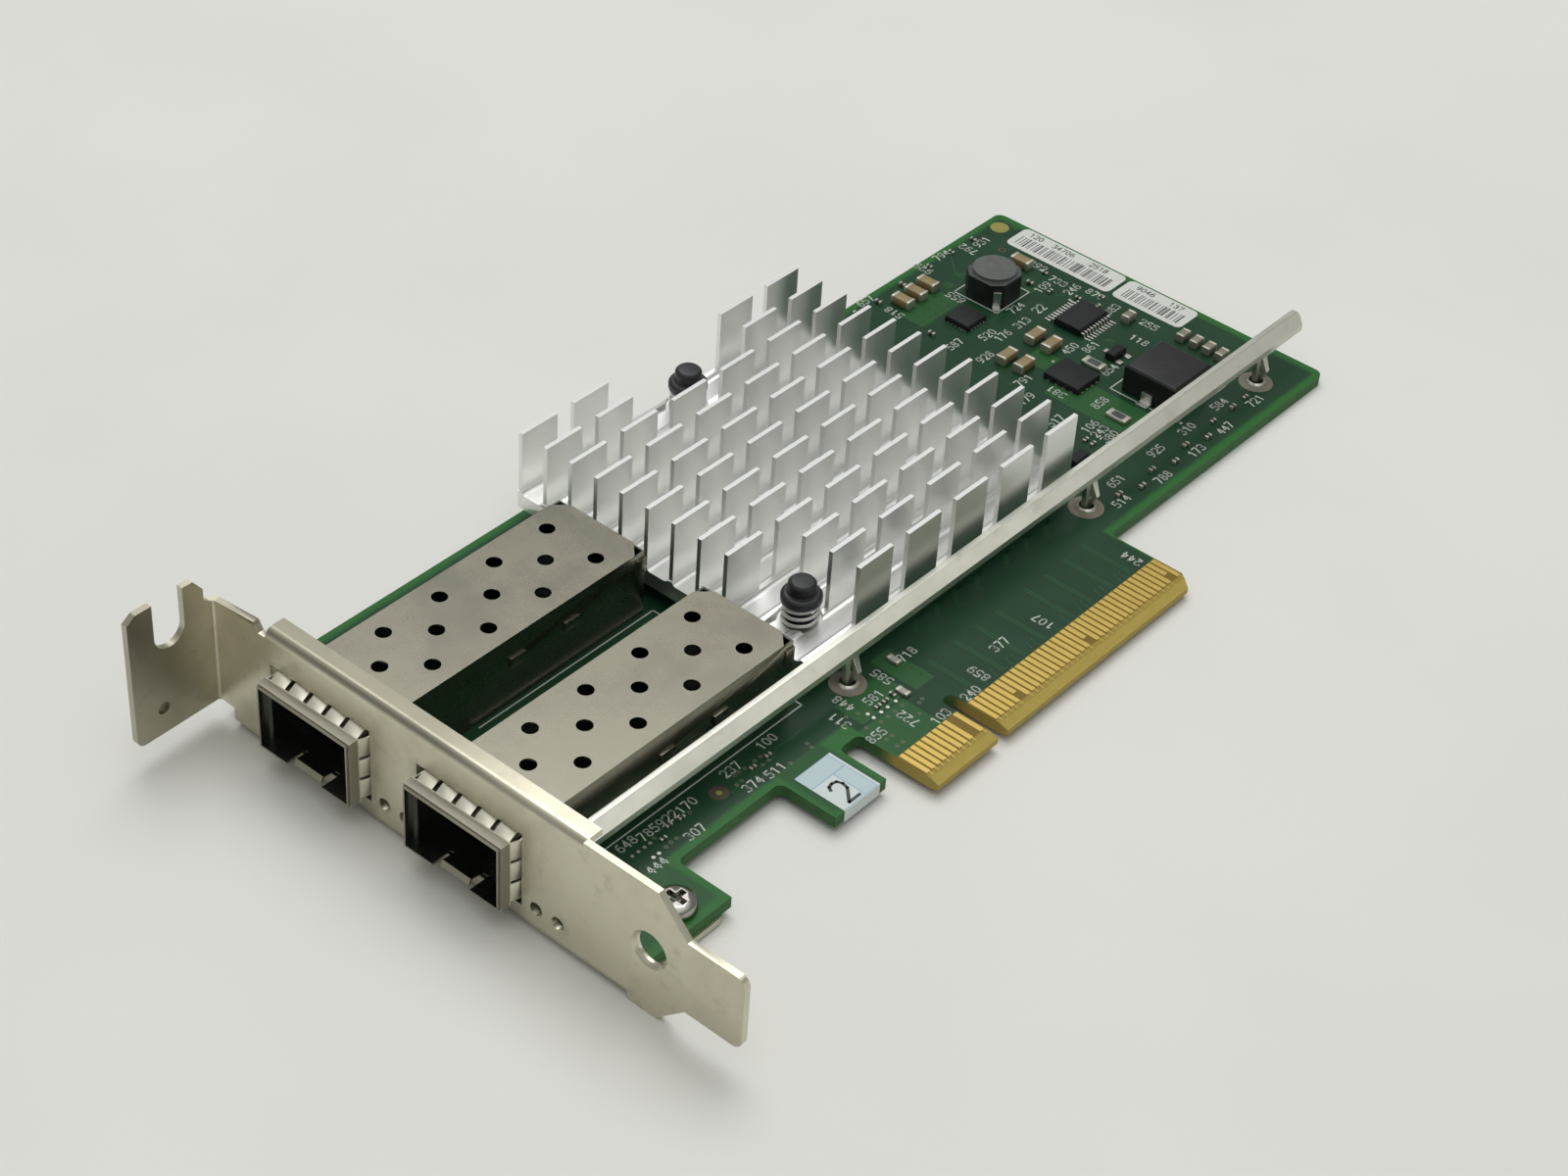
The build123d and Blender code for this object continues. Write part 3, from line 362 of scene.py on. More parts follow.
# %% [markdown]
# ## Plated sheet metal
# Bracket, cages, collars and rail are nickel or tin over steel. Up close such plating has a fine
# mottled grain, faint stains a few millimetres wide and tiny scratches drawn out along one
# direction. One recipe with a few numbers serves them all, so they look related but not the same.

# %% Metal recipe
# The colour of painted shade inside shells and recesses.
PAINTED_SHADE_STEEL = (0.22, 0.23, 0.20)


def plated(color, stain, rough=0.32, grain_size=0.25, grain_depth=0.004, stain_size=9.0,
           hollow=None, dull=None, blotchy=0.45):
    """Return a recipe: base colour with stains, uneven gloss, and a grain that dents the surface.
    One mask may mark the inside of a shell, which gets painted shade, and another may mark parts painted
    darker and browner: painted shade on the bracket and at the rail's far end, and a darker front band on the
    collars."""

    def recipe(point):
        cloud = noise(point, stain_size, 4, 0.6)
        speck = noise(point, grain_size, 2, 0.6)
        scratch = noise(stretched(point, 0.12, 1.0, 1.0), 0.5, 3, 0.7)
        mark = rising(scratch, 0.70, 0.76)
        blotch = rising(noise(point, stain_size * 0.35, 3, 0.55), 0.56, 0.74)
        tone = blend(rising(cloud, 0.35, 0.72), color, stain)
        tone = blend(blotch * blotchy, tone, tuple(0.72 * c for c in stain))
        tone = blend(mark * 0.25, tone, tuple(min(1.0, c * 1.4) for c in color))
        # Painted shade: parts under the first mask turn darker and browner, and the inside of a shell turns
        # dark as if in shade.
        if dull:
            tone = blend(dull(point), tone, tuple(0.50 * c for c in stain))
        if hollow:
            tone = blend(hollow(point), tone, PAINTED_SHADE_STEEL)
        roughness = rough + 0.14 * rising(cloud, 0.3, 0.8) + 0.10 * speck - 0.08 * mark
        return surface(tone, roughness, speck + 0.9 * blotchy * blotch, grain_depth, 0.6)

    return recipe


def metal(name, *numbers, **masks):
    """A finish of plated metal."""
    return finish(name, plated(*numbers, **masks), Metallic=1.0)


print("metal recipe ready")

# %% [markdown]
# Some places are painted darker than the sheet around them. Each has a mask in the card's own millimetres:
# painted shade on the tab, roll and port rims of the bracket, at the rail's far end, in the recess of the
# screws and inside the cages, and a darker front band on the collars.

# %% Where the metal differs
CAGE_YS = (51.7, 28.35)
MOUTH_YS = (51.95, 28.6)
PORT_YS = (51.9, 28.6)
SCREW_X = -47.7
SCREW_YS = (8.4, 63.5)
DIMPLE_X = -67.4
DIMPLE_Z = 4.6


def bracket_wear(point):
    """Painted shade on the bent tab and in its stamped dimple, along the upper rolled edge, and on the blade
    close to each port.
    """
    x, y, z = axes(point)
    roll = rising(z, 15.75, 16.2) * rising(y, 18, 36) * rising(x, -59.4, -59.3) * 0.9
    beside = 1 - rising(nearest(y, PORT_YS), 7.6, 9.4)
    port = beside * (1 - rising(z, 11.4, 12.8)) * rising(x, -60, -59.8) * 0.42
    across = x - DIMPLE_X
    up = z - DIMPLE_Z
    away = maths("SQRT", across * across + up * up)
    dimple = (1 - rising(away, 0.75, 1.0)) * (1 - rising(x, -62.0, -61.8))
    tab = (1 - rising(x, -66.5, -59.6)) * 0.55
    return either(either(dimple, tab), either(roll, port))


def collar_band(point):
    """The front band of each collar, before its fingers begin."""
    return 1 - rising(axes(point)[0], -60.40, -60.30)


def rail_far_end(point):
    """Painted shade: the rail grows darker towards the end that overhangs the board."""
    return rising(axes(point)[0], 5, 75) * 0.5


def screw_recess(point):
    """Painted shade in the cross recess of both screw heads: everything near a head's axis that lies below
    its crown.
    """
    x, y, z = axes(point)
    near = maths("MAXIMUM", abs(x - SCREW_X), nearest(y, SCREW_YS))
    return (1 - rising(near, 1.45, 1.5)) * (1 - rising(z, 1.85, 2.05)) * rising(z, 0.8, 0.85) * 0.8


def cage_inside(point):
    """Painted shade on the inner faces of both cages and of their flared mouths, all but the tongue in each
    mouth.
    """
    x, y, z = axes(point)
    within = 1 - rising(nearest(y, CAGE_YS), 6.85, 6.9)
    mouth = nearest(y, MOUTH_YS)
    body = between(x, -56.2, -13.7, 0.01) * within * (1 - rising(z, 10.4, 10.45))
    nose = between(x, -61.8, -56.2, 0.01) * (1 - rising(mouth, 7.1, 7.15)) * between(z, 1.5, 10.3, 0.02)
    tongue = (1 - rising(mouth, 2.2, 2.25)) * (1 - rising(z, 2.25, 2.3)) * (1 - rising(x, -60.9, -60.6))
    return either(body * rising(z, 0.9, 0.95), nose * (1 - tongue))


# Masks of painted shade, and of the collars' darker band.
print("darkening masks ready")

# %% [markdown]
# Bracket and rail are thick enough for a round edge that catches the light; cages and collars are not.
# A collar's fingers meet at shallow angles, so for them the rounding starts at a smaller angle.

# %% Sheet metal pieces
# The bracket's tab, dimple, roll and port rims get painted shade.
bracket_metal = metal("bracket_nickel", (0.68, 0.65, 0.515), (0.59, 0.56, 0.435), 0.24, dull=bracket_wear)
cage_metal = metal("cage_nickel", (0.315, 0.30, 0.245), (0.285, 0.27, 0.215), 0.17, 0.18, 0.0025, 14.0,
                   hollow=cage_inside, blotchy=0.12)
collar_metal = metal("collar_nickel", (0.98, 0.95, 0.84), (0.92, 0.885, 0.76), 0.40, dull=collar_band)
# The rail's far end gets painted shade.
rail_metal = metal("rail_tin", (0.86, 0.865, 0.775), (0.78, 0.78, 0.69), 0.26, dull=rail_far_end)
screw_metal = metal("screw_steel", (0.42, 0.405, 0.37), (0.30, 0.28, 0.25), 0.10, hollow=screw_recess)

edged("slot_bracket", bracket_metal, 0.16, 3, 30)
for name in ("upper", "lower"):
    edged("port_cage_" + name, cage_metal, 0.06, 1)
    edged("spring_collar_" + name, collar_metal, 0.04, 1, 12)
edged("stiffener_rail", rail_metal, 0.12, 2)
edged("bracket_screws", screw_metal, 0.12, 2)

# %% [markdown]
# ## The heatsink
# The heatsink is a drawn aluminium comb, sawn across. Drawn faces carry fine lines along the fins,
# and the narrow tips of the fins are duller. The lines are a noise stretched along X, which is how the
# metal was drawn through its die.

# %% Heatsink
FIN_TOP = node_box("heatsink")[1][2]


def aluminium_recipe(point):
    drawn = noise(stretched(point, 0.04, 1.0, 1.6), 0.22, 3, 0.6)
    cloud = noise(point, 14, 3)
    tips = rising(axes(point)[2], FIN_TOP - 0.08, FIN_TOP - 0.04)
    tone = blend(rising(cloud, 0.3, 0.75), (0.90, 0.905, 0.88), (0.84, 0.845, 0.825))
    tone = blend(tips, tone, (0.66, 0.665, 0.65))
    return surface(tone, 0.30 + 0.16 * drawn + 0.15 * tips, drawn, 0.006)


aluminium = finish("heatsink_aluminium", aluminium_recipe, Metallic=1.0)
edged("heatsink", aluminium, 0.06, 2)

# %% [markdown]
# ## The circuit board
# A board is glass laminate with copper under a green varnish. Where an inner copper plane lies
# underneath, the green looks dark; at the rims, where there is none, light passes through the
# laminate and the green is brighter. Masks in millimetres say where the copper is.

# %% Where copper lies
BOARD_TOP = 0.785
COPPER_PATCHES = [(57.6, 63.8, 24.5, 37.6), (58.0, 66.5, 58.6, 63.0), (61.8, 65.4, 40.6, 44.2),
                  (-1.3, 2.1, 12.0, 19.2), (-12.0, -3.6, 6.3, 12.2), (-10.5, -2.2, 12.6, 17.0)]


def copper_plane(x, y, wander):
    """The inner plane: all but a rim round board and tongue, and half as strong in tab and hook."""
    inner = between(x, -57.4, 87.3, 0.45) * between(y + wander, 14.2, 67.9, 0.45)
    tongue = between(x, -11.9, 38.9, 0.25) * between(y, 6.2, 14.8, 0.2)
    tab = between(x, -57.4, -43.3, 0.5) * between(y, 6.2, 14.6, 0.5)
    hook = between(x, -24.2, -16.6, 0.4) * between(y, 5.4, 14.6, 0.4)
    return either(either(inner, tongue), either(tab * 0.5, hook * 0.5))


def copper_patches(x, y, wander):
    """The larger areas of copper right under the varnish."""
    found = None
    for x0, x1, y0, y1 in COPPER_PATCHES:
        area = between(x + 0.4 * wander, x0, x1, 0.12) * between(y + 0.4 * wander, y0, y1, 0.12)
        found = area if found is None else either(found, area)
    return found


def copper_squares(point, y):
    """Small squares of spare copper in the upper part: the middles of square Voronoi cells."""
    settings = {"feature": "F1", "distance": "CHEBYCHEV"}
    values = {"Vector": point, "Scale": 1 / 4.2, "Randomness": 0.9}
    away = point.node("ShaderNodeTexVoronoi", settings, values, out="Distance")
    return (1 - rising(away, 0.15, 0.17)) * rising(noise(point, 8, 1), 0.50, 0.54) * rising(y, 36, 38)


print("copper masks ready:", len(COPPER_PATCHES), "patches")

# %% [markdown]
# The varnish ends above the contacts, where bare laminate shows: woven glass in amber resin. On the cut
# edges its layers are seen from the side.

# %% Board finish
def varnish(plane, patch, spare, cloud):
    """Green, dark over the inner plane and paler where copper lies right below."""
    green = blend(plane, (0.022, 0.125, 0.026), (0.0105, 0.0430, 0.0195))
    green = blend(rising(cloud, 0.35, 0.8) * plane, green, (0.0125, 0.0520, 0.0235))
    return blend(either(patch * 0.75, spare * 0.45), green, (0.024, 0.105, 0.028))


def laminate(point, y, face):
    """Amber resin, its weave the product of two noises drawn out crosswise."""
    fibre = noise(stretched(point, 1.0, 0.2, 1.0), 0.35, 2) * noise(stretched(point, 0.2, 1.0, 1.0), 0.35, 2)
    amber = blend(fibre, (0.285, 0.205, 0.036), (0.345, 0.255, 0.052))
    return blend(between(y, 1.9, 6.4, 0.15) * face, amber, (0.185, 0.118, 0.014))


def cut_edge(point, y, on_tongue):
    """Layers one above the other, green round the board and amber round the tongue."""
    layers = noise(stretched(point, 0.3, 0.3, 3.0), 0.5, 2)
    green = blend(rising(layers, 0.35, 0.65), (0.026, 0.102, 0.026), (0.046, 0.138, 0.040))
    amber = blend(layers, (0.33, 0.245, 0.048), (0.42, 0.325, 0.078))
    return blend(on_tongue * (1 - rising(y, 6.0, 9.0)), green, amber)


def board_recipe(point):
    x, y, z = axes(point)
    face = rising(abs(z), BOARD_TOP - 0.025, BOARD_TOP - 0.005)
    wander = (noise(point, 3, 2) - 0.5) * 0.5
    cloud = noise(point, 6, 3)
    ripple = noise(point, 2.2, 1)
    patch = copper_patches(x, y, wander)
    green = varnish(copper_plane(x, y, wander), patch, copper_squares(point, y), cloud)
    on_tongue = between(x, -12.3, 39.3, 0.05)
    bare = (1 - rising(y, 6.15, 6.35)) * on_tongue
    top = blend(bare, green, laminate(point, y, face))
    color = blend(face, cut_edge(point, y, on_tongue), top)
    return surface(color, 0.50 - 0.24 * face + 0.08 * cloud, patch + 0.5 * ripple, 0.012)


dress("circuit_board", finish("solder_mask", board_recipe, Specular_IOR_Level=0.2))

# %% [markdown]
# ## The edge contacts
# The contacts are gold over nickel, rubbed along their length by the springs of a slot. They are flat,
# so the CAD mesh stays as it is, and a fine noise drawn out along Y gives the rubbing.

# %% Gold
def gold_recipe(point):
    rub = noise(stretched(point, 1.0, 0.15, 1.0), 0.3, 3, 0.6)
    color = blend(rub, (0.475, 0.335, 0.085), (0.57, 0.42, 0.13))
    return surface(color, 0.26 + 0.16 * rub, rub, 0.003, 0.4)


gold = finish("contact_gold", gold_recipe, Metallic=1.0)
dress("edge_contacts_front", gold)
dress("edge_contacts_back", gold)

# %% [markdown]
# Each contact was plated through a thin tail that ran to the edge of the panel. The tails are left on
# the board as short stubs beyond the long contacts, so they come as one more mesh of thin gold bars.

# %% Plating tails
def lifted(flat, z):
    """The points x, y of a flat drawing, put at height z."""
    return np.concatenate([flat, np.full((*flat.shape[:-1], 1), z)], -1).reshape(-1, 3) * MM


def flat_bars(x, low_y, high_y, width, z):
    """Flat quads facing up, each width wide, from low_y to high_y."""
    x, low_y, high_y = np.broadcast_arrays(np.asarray(x, float), low_y, high_y)
    left = x - width / 2
    right = x + width / 2
    corners = [np.c_[left, low_y], np.c_[right, low_y], np.c_[right, high_y], np.c_[left, high_y]]
    points = lifted(np.stack(corners, 1), z)
    return points, [np.arange(len(points)).reshape(-1, 4)]


def joined(name, parts, smooth=False):
    """One mesh from several (points, blocks of faces) pairs; each later block's indices are moved on."""
    points, faces, shift = [], [], 0
    for part_points, blocks in parts:
        points.append(part_points)
        for block in blocks:
            faces += (np.asarray(block) + shift).tolist()
        shift += len(part_points)
    mesh = bpy.data.meshes.new(name)
    mesh.from_pydata(np.vstack(points).tolist(), [], faces)
    mesh.polygons.foreach_set("use_smooth", np.full(len(mesh.polygons), smooth))
    return mesh


def add_drawn(name, parts, material, stands_for=(), smooth=False):
    """Join parts into one mesh and add it as a piece of one material."""
    return add_piece(name, joined(name, parts, smooth), [material], stands_for)


contact_x = np.array([-11.5 + n for n in range(9)] + [-1.5] + [1.5 + n for n in range(38)])
short_contacts = (6.5, 20.5, 37.5)
tail_x = contact_x[~np.isin(contact_x, short_contacts)]
tails = flat_bars(tail_x + 0.12, 1.35, 2.05, 0.14, BOARD_TOP + 0.02)
add_drawn("plating_tails", [tails], gold)

# %% [markdown]
# ## Mouldings
# Chip packages are dark resin with a fine sandy skin. The big moulded coil is glossier, and the pins
# are black nylon. They differ by a few numbers only, so one recipe makes them all.

# %% Resin and plastics
def moulded(color, worn, grain=0.12, depth=0.004, rough=0.5):
    """Return a recipe for a moulded skin: two close tones and a sandy grain."""

    def recipe(point):
        cloud = noise(point, 2.5, 3)
        sand = noise(point, grain, 2, 0.7)
        tone = blend(rising(cloud, 0.35, 0.75), color, worn)
        return surface(tone, rough + 0.12 * sand, sand, depth, 0.6)

    return recipe


chip_resin = finish("chip_resin", moulded((0.010, 0.012, 0.012), (0.016, 0.018, 0.017), rough=0.42),
                    Specular_IOR_Level=0.2)
coil_resin = finish("coil_resin", moulded((0.010, 0.011, 0.011), (0.016, 0.017, 0.016), rough=0.36),
                    Specular_IOR_Level=0.3)
nylon = finish("black_nylon", moulded((0.012, 0.013, 0.015), (0.020, 0.021, 0.023), 0.3, 0.003, 0.38))
connector_black = finish("connector_plastic", moulded((0.006, 0.006, 0.006), (0.009, 0.009, 0.009)),
                         Specular_IOR_Level=0.1)
pad_grey = finish("thermal_pad", moulded((0.30, 0.30, 0.32), (0.36, 0.36, 0.38), 0.3, 0.01, 0.7))
lamp_milk = finish("lamp_lens", moulded((0.05, 0.055, 0.05), (0.08, 0.085, 0.08), 0.4, 0.002, 0.12))

# %% [markdown]
# The inductor's ferrite is nearly black round the wall, but its ground top is grey. A mask by height
# tells the two apart.

# %% Ferrite
def ferrite_recipe(point):
    top = rising(axes(point)[2], 4.3, 4.5)
    cloud = rising(noise(point, 1.6, 3), 0.35, 0.75)
    sand = noise(point, 0.2, 2, 0.7)
    dark = blend(cloud, (0.010, 0.012, 0.011), (0.018, 0.020, 0.019))
    pale = blend(cloud, (0.085, 0.098, 0.092), (0.115, 0.128, 0.120))
    return surface(blend(top, dark, pale), 0.34 + 0.12 * sand, sand, 0.006, 0.6)


ferrite = finish("ferrite", ferrite_recipe, Specular_IOR_Level=0.35)

# %% [markdown]
# Moulded edges are rounder on large pieces than on small ones. What hides under the heatsink, in a
# cage or behind the bracket keeps its CAD mesh.

# %% Moulded pieces
for node in ("regulator_chip", "memory_chip", "small_regulator", "logic_chip", "transistor"):
    edged(node, chip_resin, 0.06, 2)
edged("choke_module", coil_resin, 0.12, 2)
edged("power_inductor", ferrite, 0.15, 2)
edged("push_pins", nylon, 0.12, 2)
for node in ("module_connector_upper", "module_connector_lower", "controller_chip"):
    dress(node, connector_black)
dress("thermal_pad", pad_grey)
dress("status_lights", lamp_milk)

# %% [markdown]
# ## Tin and solder
# Leads are bright tin. The rail's three feet are soldered in: bright metal in the middle, and round it
# a dull ring of flux that runs out unevenly, so noise is added to the distance from the foot.

# %% Leads and joints
RAIL_FOOT_XS = (-6.2, 41.4, 80.05)
RAIL_Y = 18.5


def joint_recipe(point):
    x, y = axes(point)[:2]
    across = nearest(x, RAIL_FOOT_XS)
    up = y - RAIL_Y
    reach = maths("SQRT", across * across + up * up) + (noise(point, 0.8, 2) - 0.5) * 0.5
    ring = rising(reach, 1.1, 1.4)
    cloud = noise(point, 0.7, 3)
    flux = blend(cloud, (0.135, 0.120, 0.090), (0.20, 0.185, 0.145))
    color = blend(ring, (0.55, 0.54, 0.48), flux)
    return surface(color, 0.24 + 0.25 * ring + 0.1 * cloud, cloud, 0.05, 0.6, Metallic=1 - 0.75 * ring)


tin = metal("lead_tin", (0.74, 0.73, 0.70), (0.62, 0.61, 0.57), 0.22)
solder = metal("solder", (0.62, 0.61, 0.57), (0.48, 0.46, 0.42), 0.22, 0.4, 0.02)
for node in ("logic_chip_leads", "choke_leads", "inductor_lead"):
    edged(node, tin, 0.03, 2)
edged("rail_solder", finish("rail_joint", joint_recipe), 0.1, 2)

# %% [markdown]
# ## Capacitors and resistors
# Each is a tiny fired bar with tinned ends. The CAD solid has the right steps but one material, so a
# new piece stands for it: the same bars, with separate materials for body and ends. The shape is a
# superellipse box: a grid of directions whose cosines are raised to a low power, which gives a box
# with soft corners from one formula.

# %% Soft boxes
def soft_boxes(centers, sizes, rows=9, columns=16, power=0.22):
    """Closed boxes with rounded corners. On a grid of latitude a and longitude b the point is
    half the size times (cos a cos b, cos a sin b, sin a), each raised to a small power, sign kept."""

    def raised(value):
        return np.sign(value) * np.abs(value) ** power

    a = np.linspace(-math.pi / 2, math.pi / 2, rows)[1:-1, None]
    b = np.linspace(0, 2 * math.pi, columns, endpoint=False)[None, :]
    ring = np.stack([raised(np.cos(a)) * raised(np.cos(b)), raised(np.cos(a)) * raised(np.sin(b)),
                     raised(np.sin(a)) * np.ones_like(b)], -1).reshape(-1, 3)
    unit = np.vstack([ring, [(0, 0, -1), (0, 0, 1)]]) / 2
    count, bands = len(unit), rows - 2
    i, j = np.meshgrid(np.arange(bands - 1), np.arange(columns), indexing="ij")
    i, j, k = i.ravel(), j.ravel(), (j.ravel() + 1) % columns
    quads = np.c_[i * columns + j, i * columns + k, (i + 1) * columns + k, (i + 1) * columns + j]
    j = np.arange(columns)
    k = (j + 1) % columns
    low = np.c_[k, j, np.full(columns, count - 2)]
    top = np.c_[(bands - 1) * columns + j, (bands - 1) * columns + k, np.full(columns, count - 1)]
    centers, sizes = np.asarray(centers, float), np.asarray(sizes, float)
    points = (centers[:, None] + unit[None] * sizes[:, None]).reshape(-1, 3) * MM
    shift = (np.arange(len(centers)) * count)[:, None, None]
    return points, [(block + shift).reshape(-1, block.shape[1]) for block in (quads, low, top)]


print("soft boxes ready")

# %% [markdown]
# A fired bar is one soft box for its body and two slightly larger ones for its ends. The places are
# those of the CAD bars, in one list for each direction.

# %% Plated bars
def plated_bars(name, node, along_x, along_y, size, body):
    """Bars along X and along Y: one soft box for each body and one for each plated end."""
    length, width, height, end = size
    places = np.array(along_x + along_y)
    turned = np.repeat([0.0, 1.0], [len(along_x), len(along_y)])[:, None]
    run = np.hstack([1 - turned, turned, 0 * turned])
    side = np.hstack([turned, 1 - turned, 0 * turned])
    up = np.array([[0, 0, 1.0]])
    middle = np.c_[places, np.full(len(places), BOARD_TOP + height / 2)]
    bodies = soft_boxes(middle, run * (length - end) + side * width + up * height)
    reach = run * (length - end) / 2
    ends_at = np.vstack([middle + reach, middle - reach]) + (0, 0, 0.02)
    ends_size = np.tile(run * end + side * (width + 0.06) + up * (height + 0.05), (2, 1))
    ends = soft_boxes(ends_at, ends_size)
    mesh = joined(name, [bodies, ends], smooth=True)
    index = np.repeat([0, 1], [sum(map(len, bodies[1])), sum(map(len, ends[1]))])
    mesh.polygons.foreach_set("material_index", index.astype(np.int32))
    return add_piece(name, mesh, [body, end_tin], (node,) if node else ())


end_tin = finish("end_tin", plated((0.52, 0.51, 0.42), (0.42, 0.41, 0.33), 0.34, 0.3, 0.01), Metallic=0.7)
tan_ceramic = finish("tan_ceramic", moulded((0.225, 0.165, 0.072), (0.270, 0.200, 0.090), 0.3, 0.004, 0.42))
grey_ceramic = finish("grey_ceramic", moulded((0.17, 0.165, 0.12), (0.21, 0.20, 0.15), 0.3, 0.004, 0.42))
small_ceramic = finish("small_ceramic",
                       moulded((0.050, 0.045, 0.032), (0.070, 0.062, 0.042), 0.3, 0.004, 0.42))
resistor_white = finish("resistor_white", moulded((0.33, 0.33, 0.29), (0.40, 0.40, 0.35), 0.3, 0.003, 0.4))

tan_x = [(66.6, 45.9), (66.45, 43.0), (60.0, 45.7), (60.1, 42.85)]
tan_y = [(60.24, 64.0), (63.11, 64.0), (66.0, 64.2), (79.9, 58.3)]
plated_bars("tan_bars", "large_capacitors", tan_x, tan_y, (3.1, 1.6, 1.3, 0.5), tan_ceramic)
grey_x = [(81.3, 31.5), (81.3, 29.3), (81.3, 27.2), (81.3, 25.1), (79.6, 39.5)]
plated_bars("grey_bars", "grey_capacitors", grey_x, [], (2.0, 1.25, 1.2, 0.4), grey_ceramic)
resistor_y = [(67.5, 36.5), (60.0, 27.0)]
plated_bars("resistor_bars", "chip_resistors", [], resistor_y, (3.2, 1.6, 0.55, 0.45),
            resistor_white)
small_x = [(46.4, 17.0), (53.7, 17.0), (61.3, 17.0), (72.8, 17.4), (50.0, 15.9), (57.4, 15.9), (64.9, 15.9)]
small_y = [(53.7, 66.9), (58.1, 66.6), (63.8, 66.9), (57.4, 56.6), (77.0, 54.6), (50.4, 40.4)]
plated_bars("small_bars", "small_capacitors", small_x, small_y, (1.0, 0.55, 0.5, 0.25),
            small_ceramic)

# %% [markdown]
# ## Coiled springs
# The CAD model has closed rings; the real spring is one wire wound into a helix with its ends laid
# flat. A helix is a circle whose height grows with the angle, and a tube round it is a grid of two
# parameters: the angle along the wire and the angle round it.

# %% Helical springs
def coiled_wire(x, y, low, high, radius, wire, turns, steps=120, sides=10):
    """A tube of the wire's radius round the curve (r cos t, r sin t, height), where the height rises
    smoothly from low to high and stays level for half a turn at each end. Both ends are closed."""
    t = np.linspace(0, 2 * math.pi * turns, steps)
    level = 0.6 * math.pi
    share = np.clip((t - level) / (t[-1] - 2 * level), 0, 1)
    middle = np.c_[x + radius * np.cos(t), y + radius * np.sin(t),
                   low + wire + (high - low - 2 * wire) * share]
    outward = np.c_[np.cos(t), np.sin(t), 0 * t]
    s = np.linspace(0, 2 * math.pi, sides, endpoint=False)
    ring = outward[:, None] * np.cos(s)[None, :, None] + np.array([0, 0, 1.0]) * np.sin(s)[None, :, None]
    points = (middle[:, None] + wire * ring).reshape(-1, 3)
    i, j = np.meshgrid(np.arange(steps - 1), np.arange(sides), indexing="ij")
    i, j, k = i.ravel(), j.ravel(), (j.ravel() + 1) % sides
    quads = np.c_[i * sides + j, (i + 1) * sides + j, (i + 1) * sides + k, i * sides + k]
    caps = np.array([np.arange(sides), (steps - 1) * sides + np.arange(sides)[::-1]])
    return points * MM, [quads, caps]


pin_places = [(-5.2, 27.2), (17.0, 65.3)]
springs = [coiled_wire(x, y, low=5.1, high=8.2, radius=2.1, wire=0.25, turns=3.1) for x, y in pin_places]
add_drawn("coil_springs", springs, tin, ("push_pin_springs",), smooth=True)

# %% [markdown]
# ## Lines of ink and varnish
# Print, tracks and bars are all thin flat lines on the board, so one function draws them: each line
# becomes a quad that lies just above the varnish. Real ink is a hundredth of a millimetre thick,
# which is too thin to need sides. Numbers are drawn with a pen, as a board's own plotter font is:
# each digit is a list of points that the pen passes through.

# %% Drawing with flat lines
INK_Z = BOARD_TOP + 0.012
PEN = {
    "0": [(.5, 0, .1, .15, 0, .5, .1, .85, .5, 1, .9, .85, 1, .5, .9, .15, .5, 0)],
    "1": [(.15, .78, .55, 1, .55, 0)],
    "2": [(0, .8, .15, .95, .5, 1, .85, .95, 1, .75, .9, .5, 0, 0, 1, 0)],
    "3": [(0, .88, .4, 1, .85, .92, .95, .75, .8, .56, .45, .52, .85, .46, 1, .25, .85, .06, .45, 0, 0, .12)],
    "4": [(.75, 0, .75, 1, 0, .3, 1, .3)],
    "5": [(.95, 1, .1, 1, .05, .56, .5, .63, .9, .52, 1, .3, .85, .07, .45, 0, 0, .1)],
    "6": [(.85, .95, .45, .95, .1, .7, 0, .35, .1, .08, .5, 0, .9, .08, 1, .3, .9, .52, .5, .6, .08, .45)],
    "7": [(0, 1, 1, 1, .35, 0)],
    "8": [(.5, .54, .12, .64, .08, .86, .5, 1, .92, .86, .88, .64, .5, .54,
           .06, .4, .02, .14, .5, 0, .98, .14, .94, .4, .5, .54)],
    "9": [(.15, .05, .55, .05, .9, .3, 1, .65, .9, .92, .5, 1, .1, .92, 0, .7, .1, .48, .5, .4, .92, .55)],
}


def path_lines(path):
    """A run of points x, y, x, y as separate lines, each from one point to the next."""
    points = np.asarray(path, float).reshape(-1, 2)
    return np.hstack([points[:-1], points[1:]])


def number_lines(x, y, turn, height, number):
    """Pen lines of a number centred on x, y, turned by quarter turns."""
    text = str(number)
    lines = []
    for place, digit in enumerate(text):
        left = (place - (len(text) - 1) / 2) * 0.82 - 0.28
        for path in PEN[digit]:
            lines.append(path_lines(path) * (0.56, 1, 0.56, 1) + (left, -0.5, left, -0.5))
    ends = np.vstack(lines).reshape(-1, 2) * height
    angle = turn * math.pi / 2
    spin = np.array([(math.cos(angle), -math.sin(angle)), (math.sin(angle), math.cos(angle))])
    return (ends @ spin.T + (x, y)).reshape(-1, 4)


def ink_lines(lines, width, z=INK_Z):
    """One flat quad for each line: its ends are moved sideways by half the width, and lengthwise by a
    third of it, so that corners close. Width may be one number or one for each line."""
    line = np.asarray(lines, float)
    start, stop = line[:, :2], line[:, 2:]
    along = (stop - start) / np.linalg.norm(stop - start, axis=1, keepdims=True)
    along *= np.broadcast_to(width, len(line))[:, None] / 2
    side = np.c_[-along[:, 1], along[:, 0]]
    start, stop = start - along * 0.7, stop + along * 0.7
    points = lifted(np.stack([start - side, stop - side, stop + side, start + side], 1), z)
    return points, [np.arange(len(points)).reshape(-1, 4)]


def outline(x0, y0, x1, y1):
    """The four sides of a rectangle as lines."""
    return path_lines((x0, y0, x1, y0, x1, y1, x0, y1, x0, y0))


print("pen ready:", len(PEN), "digits")

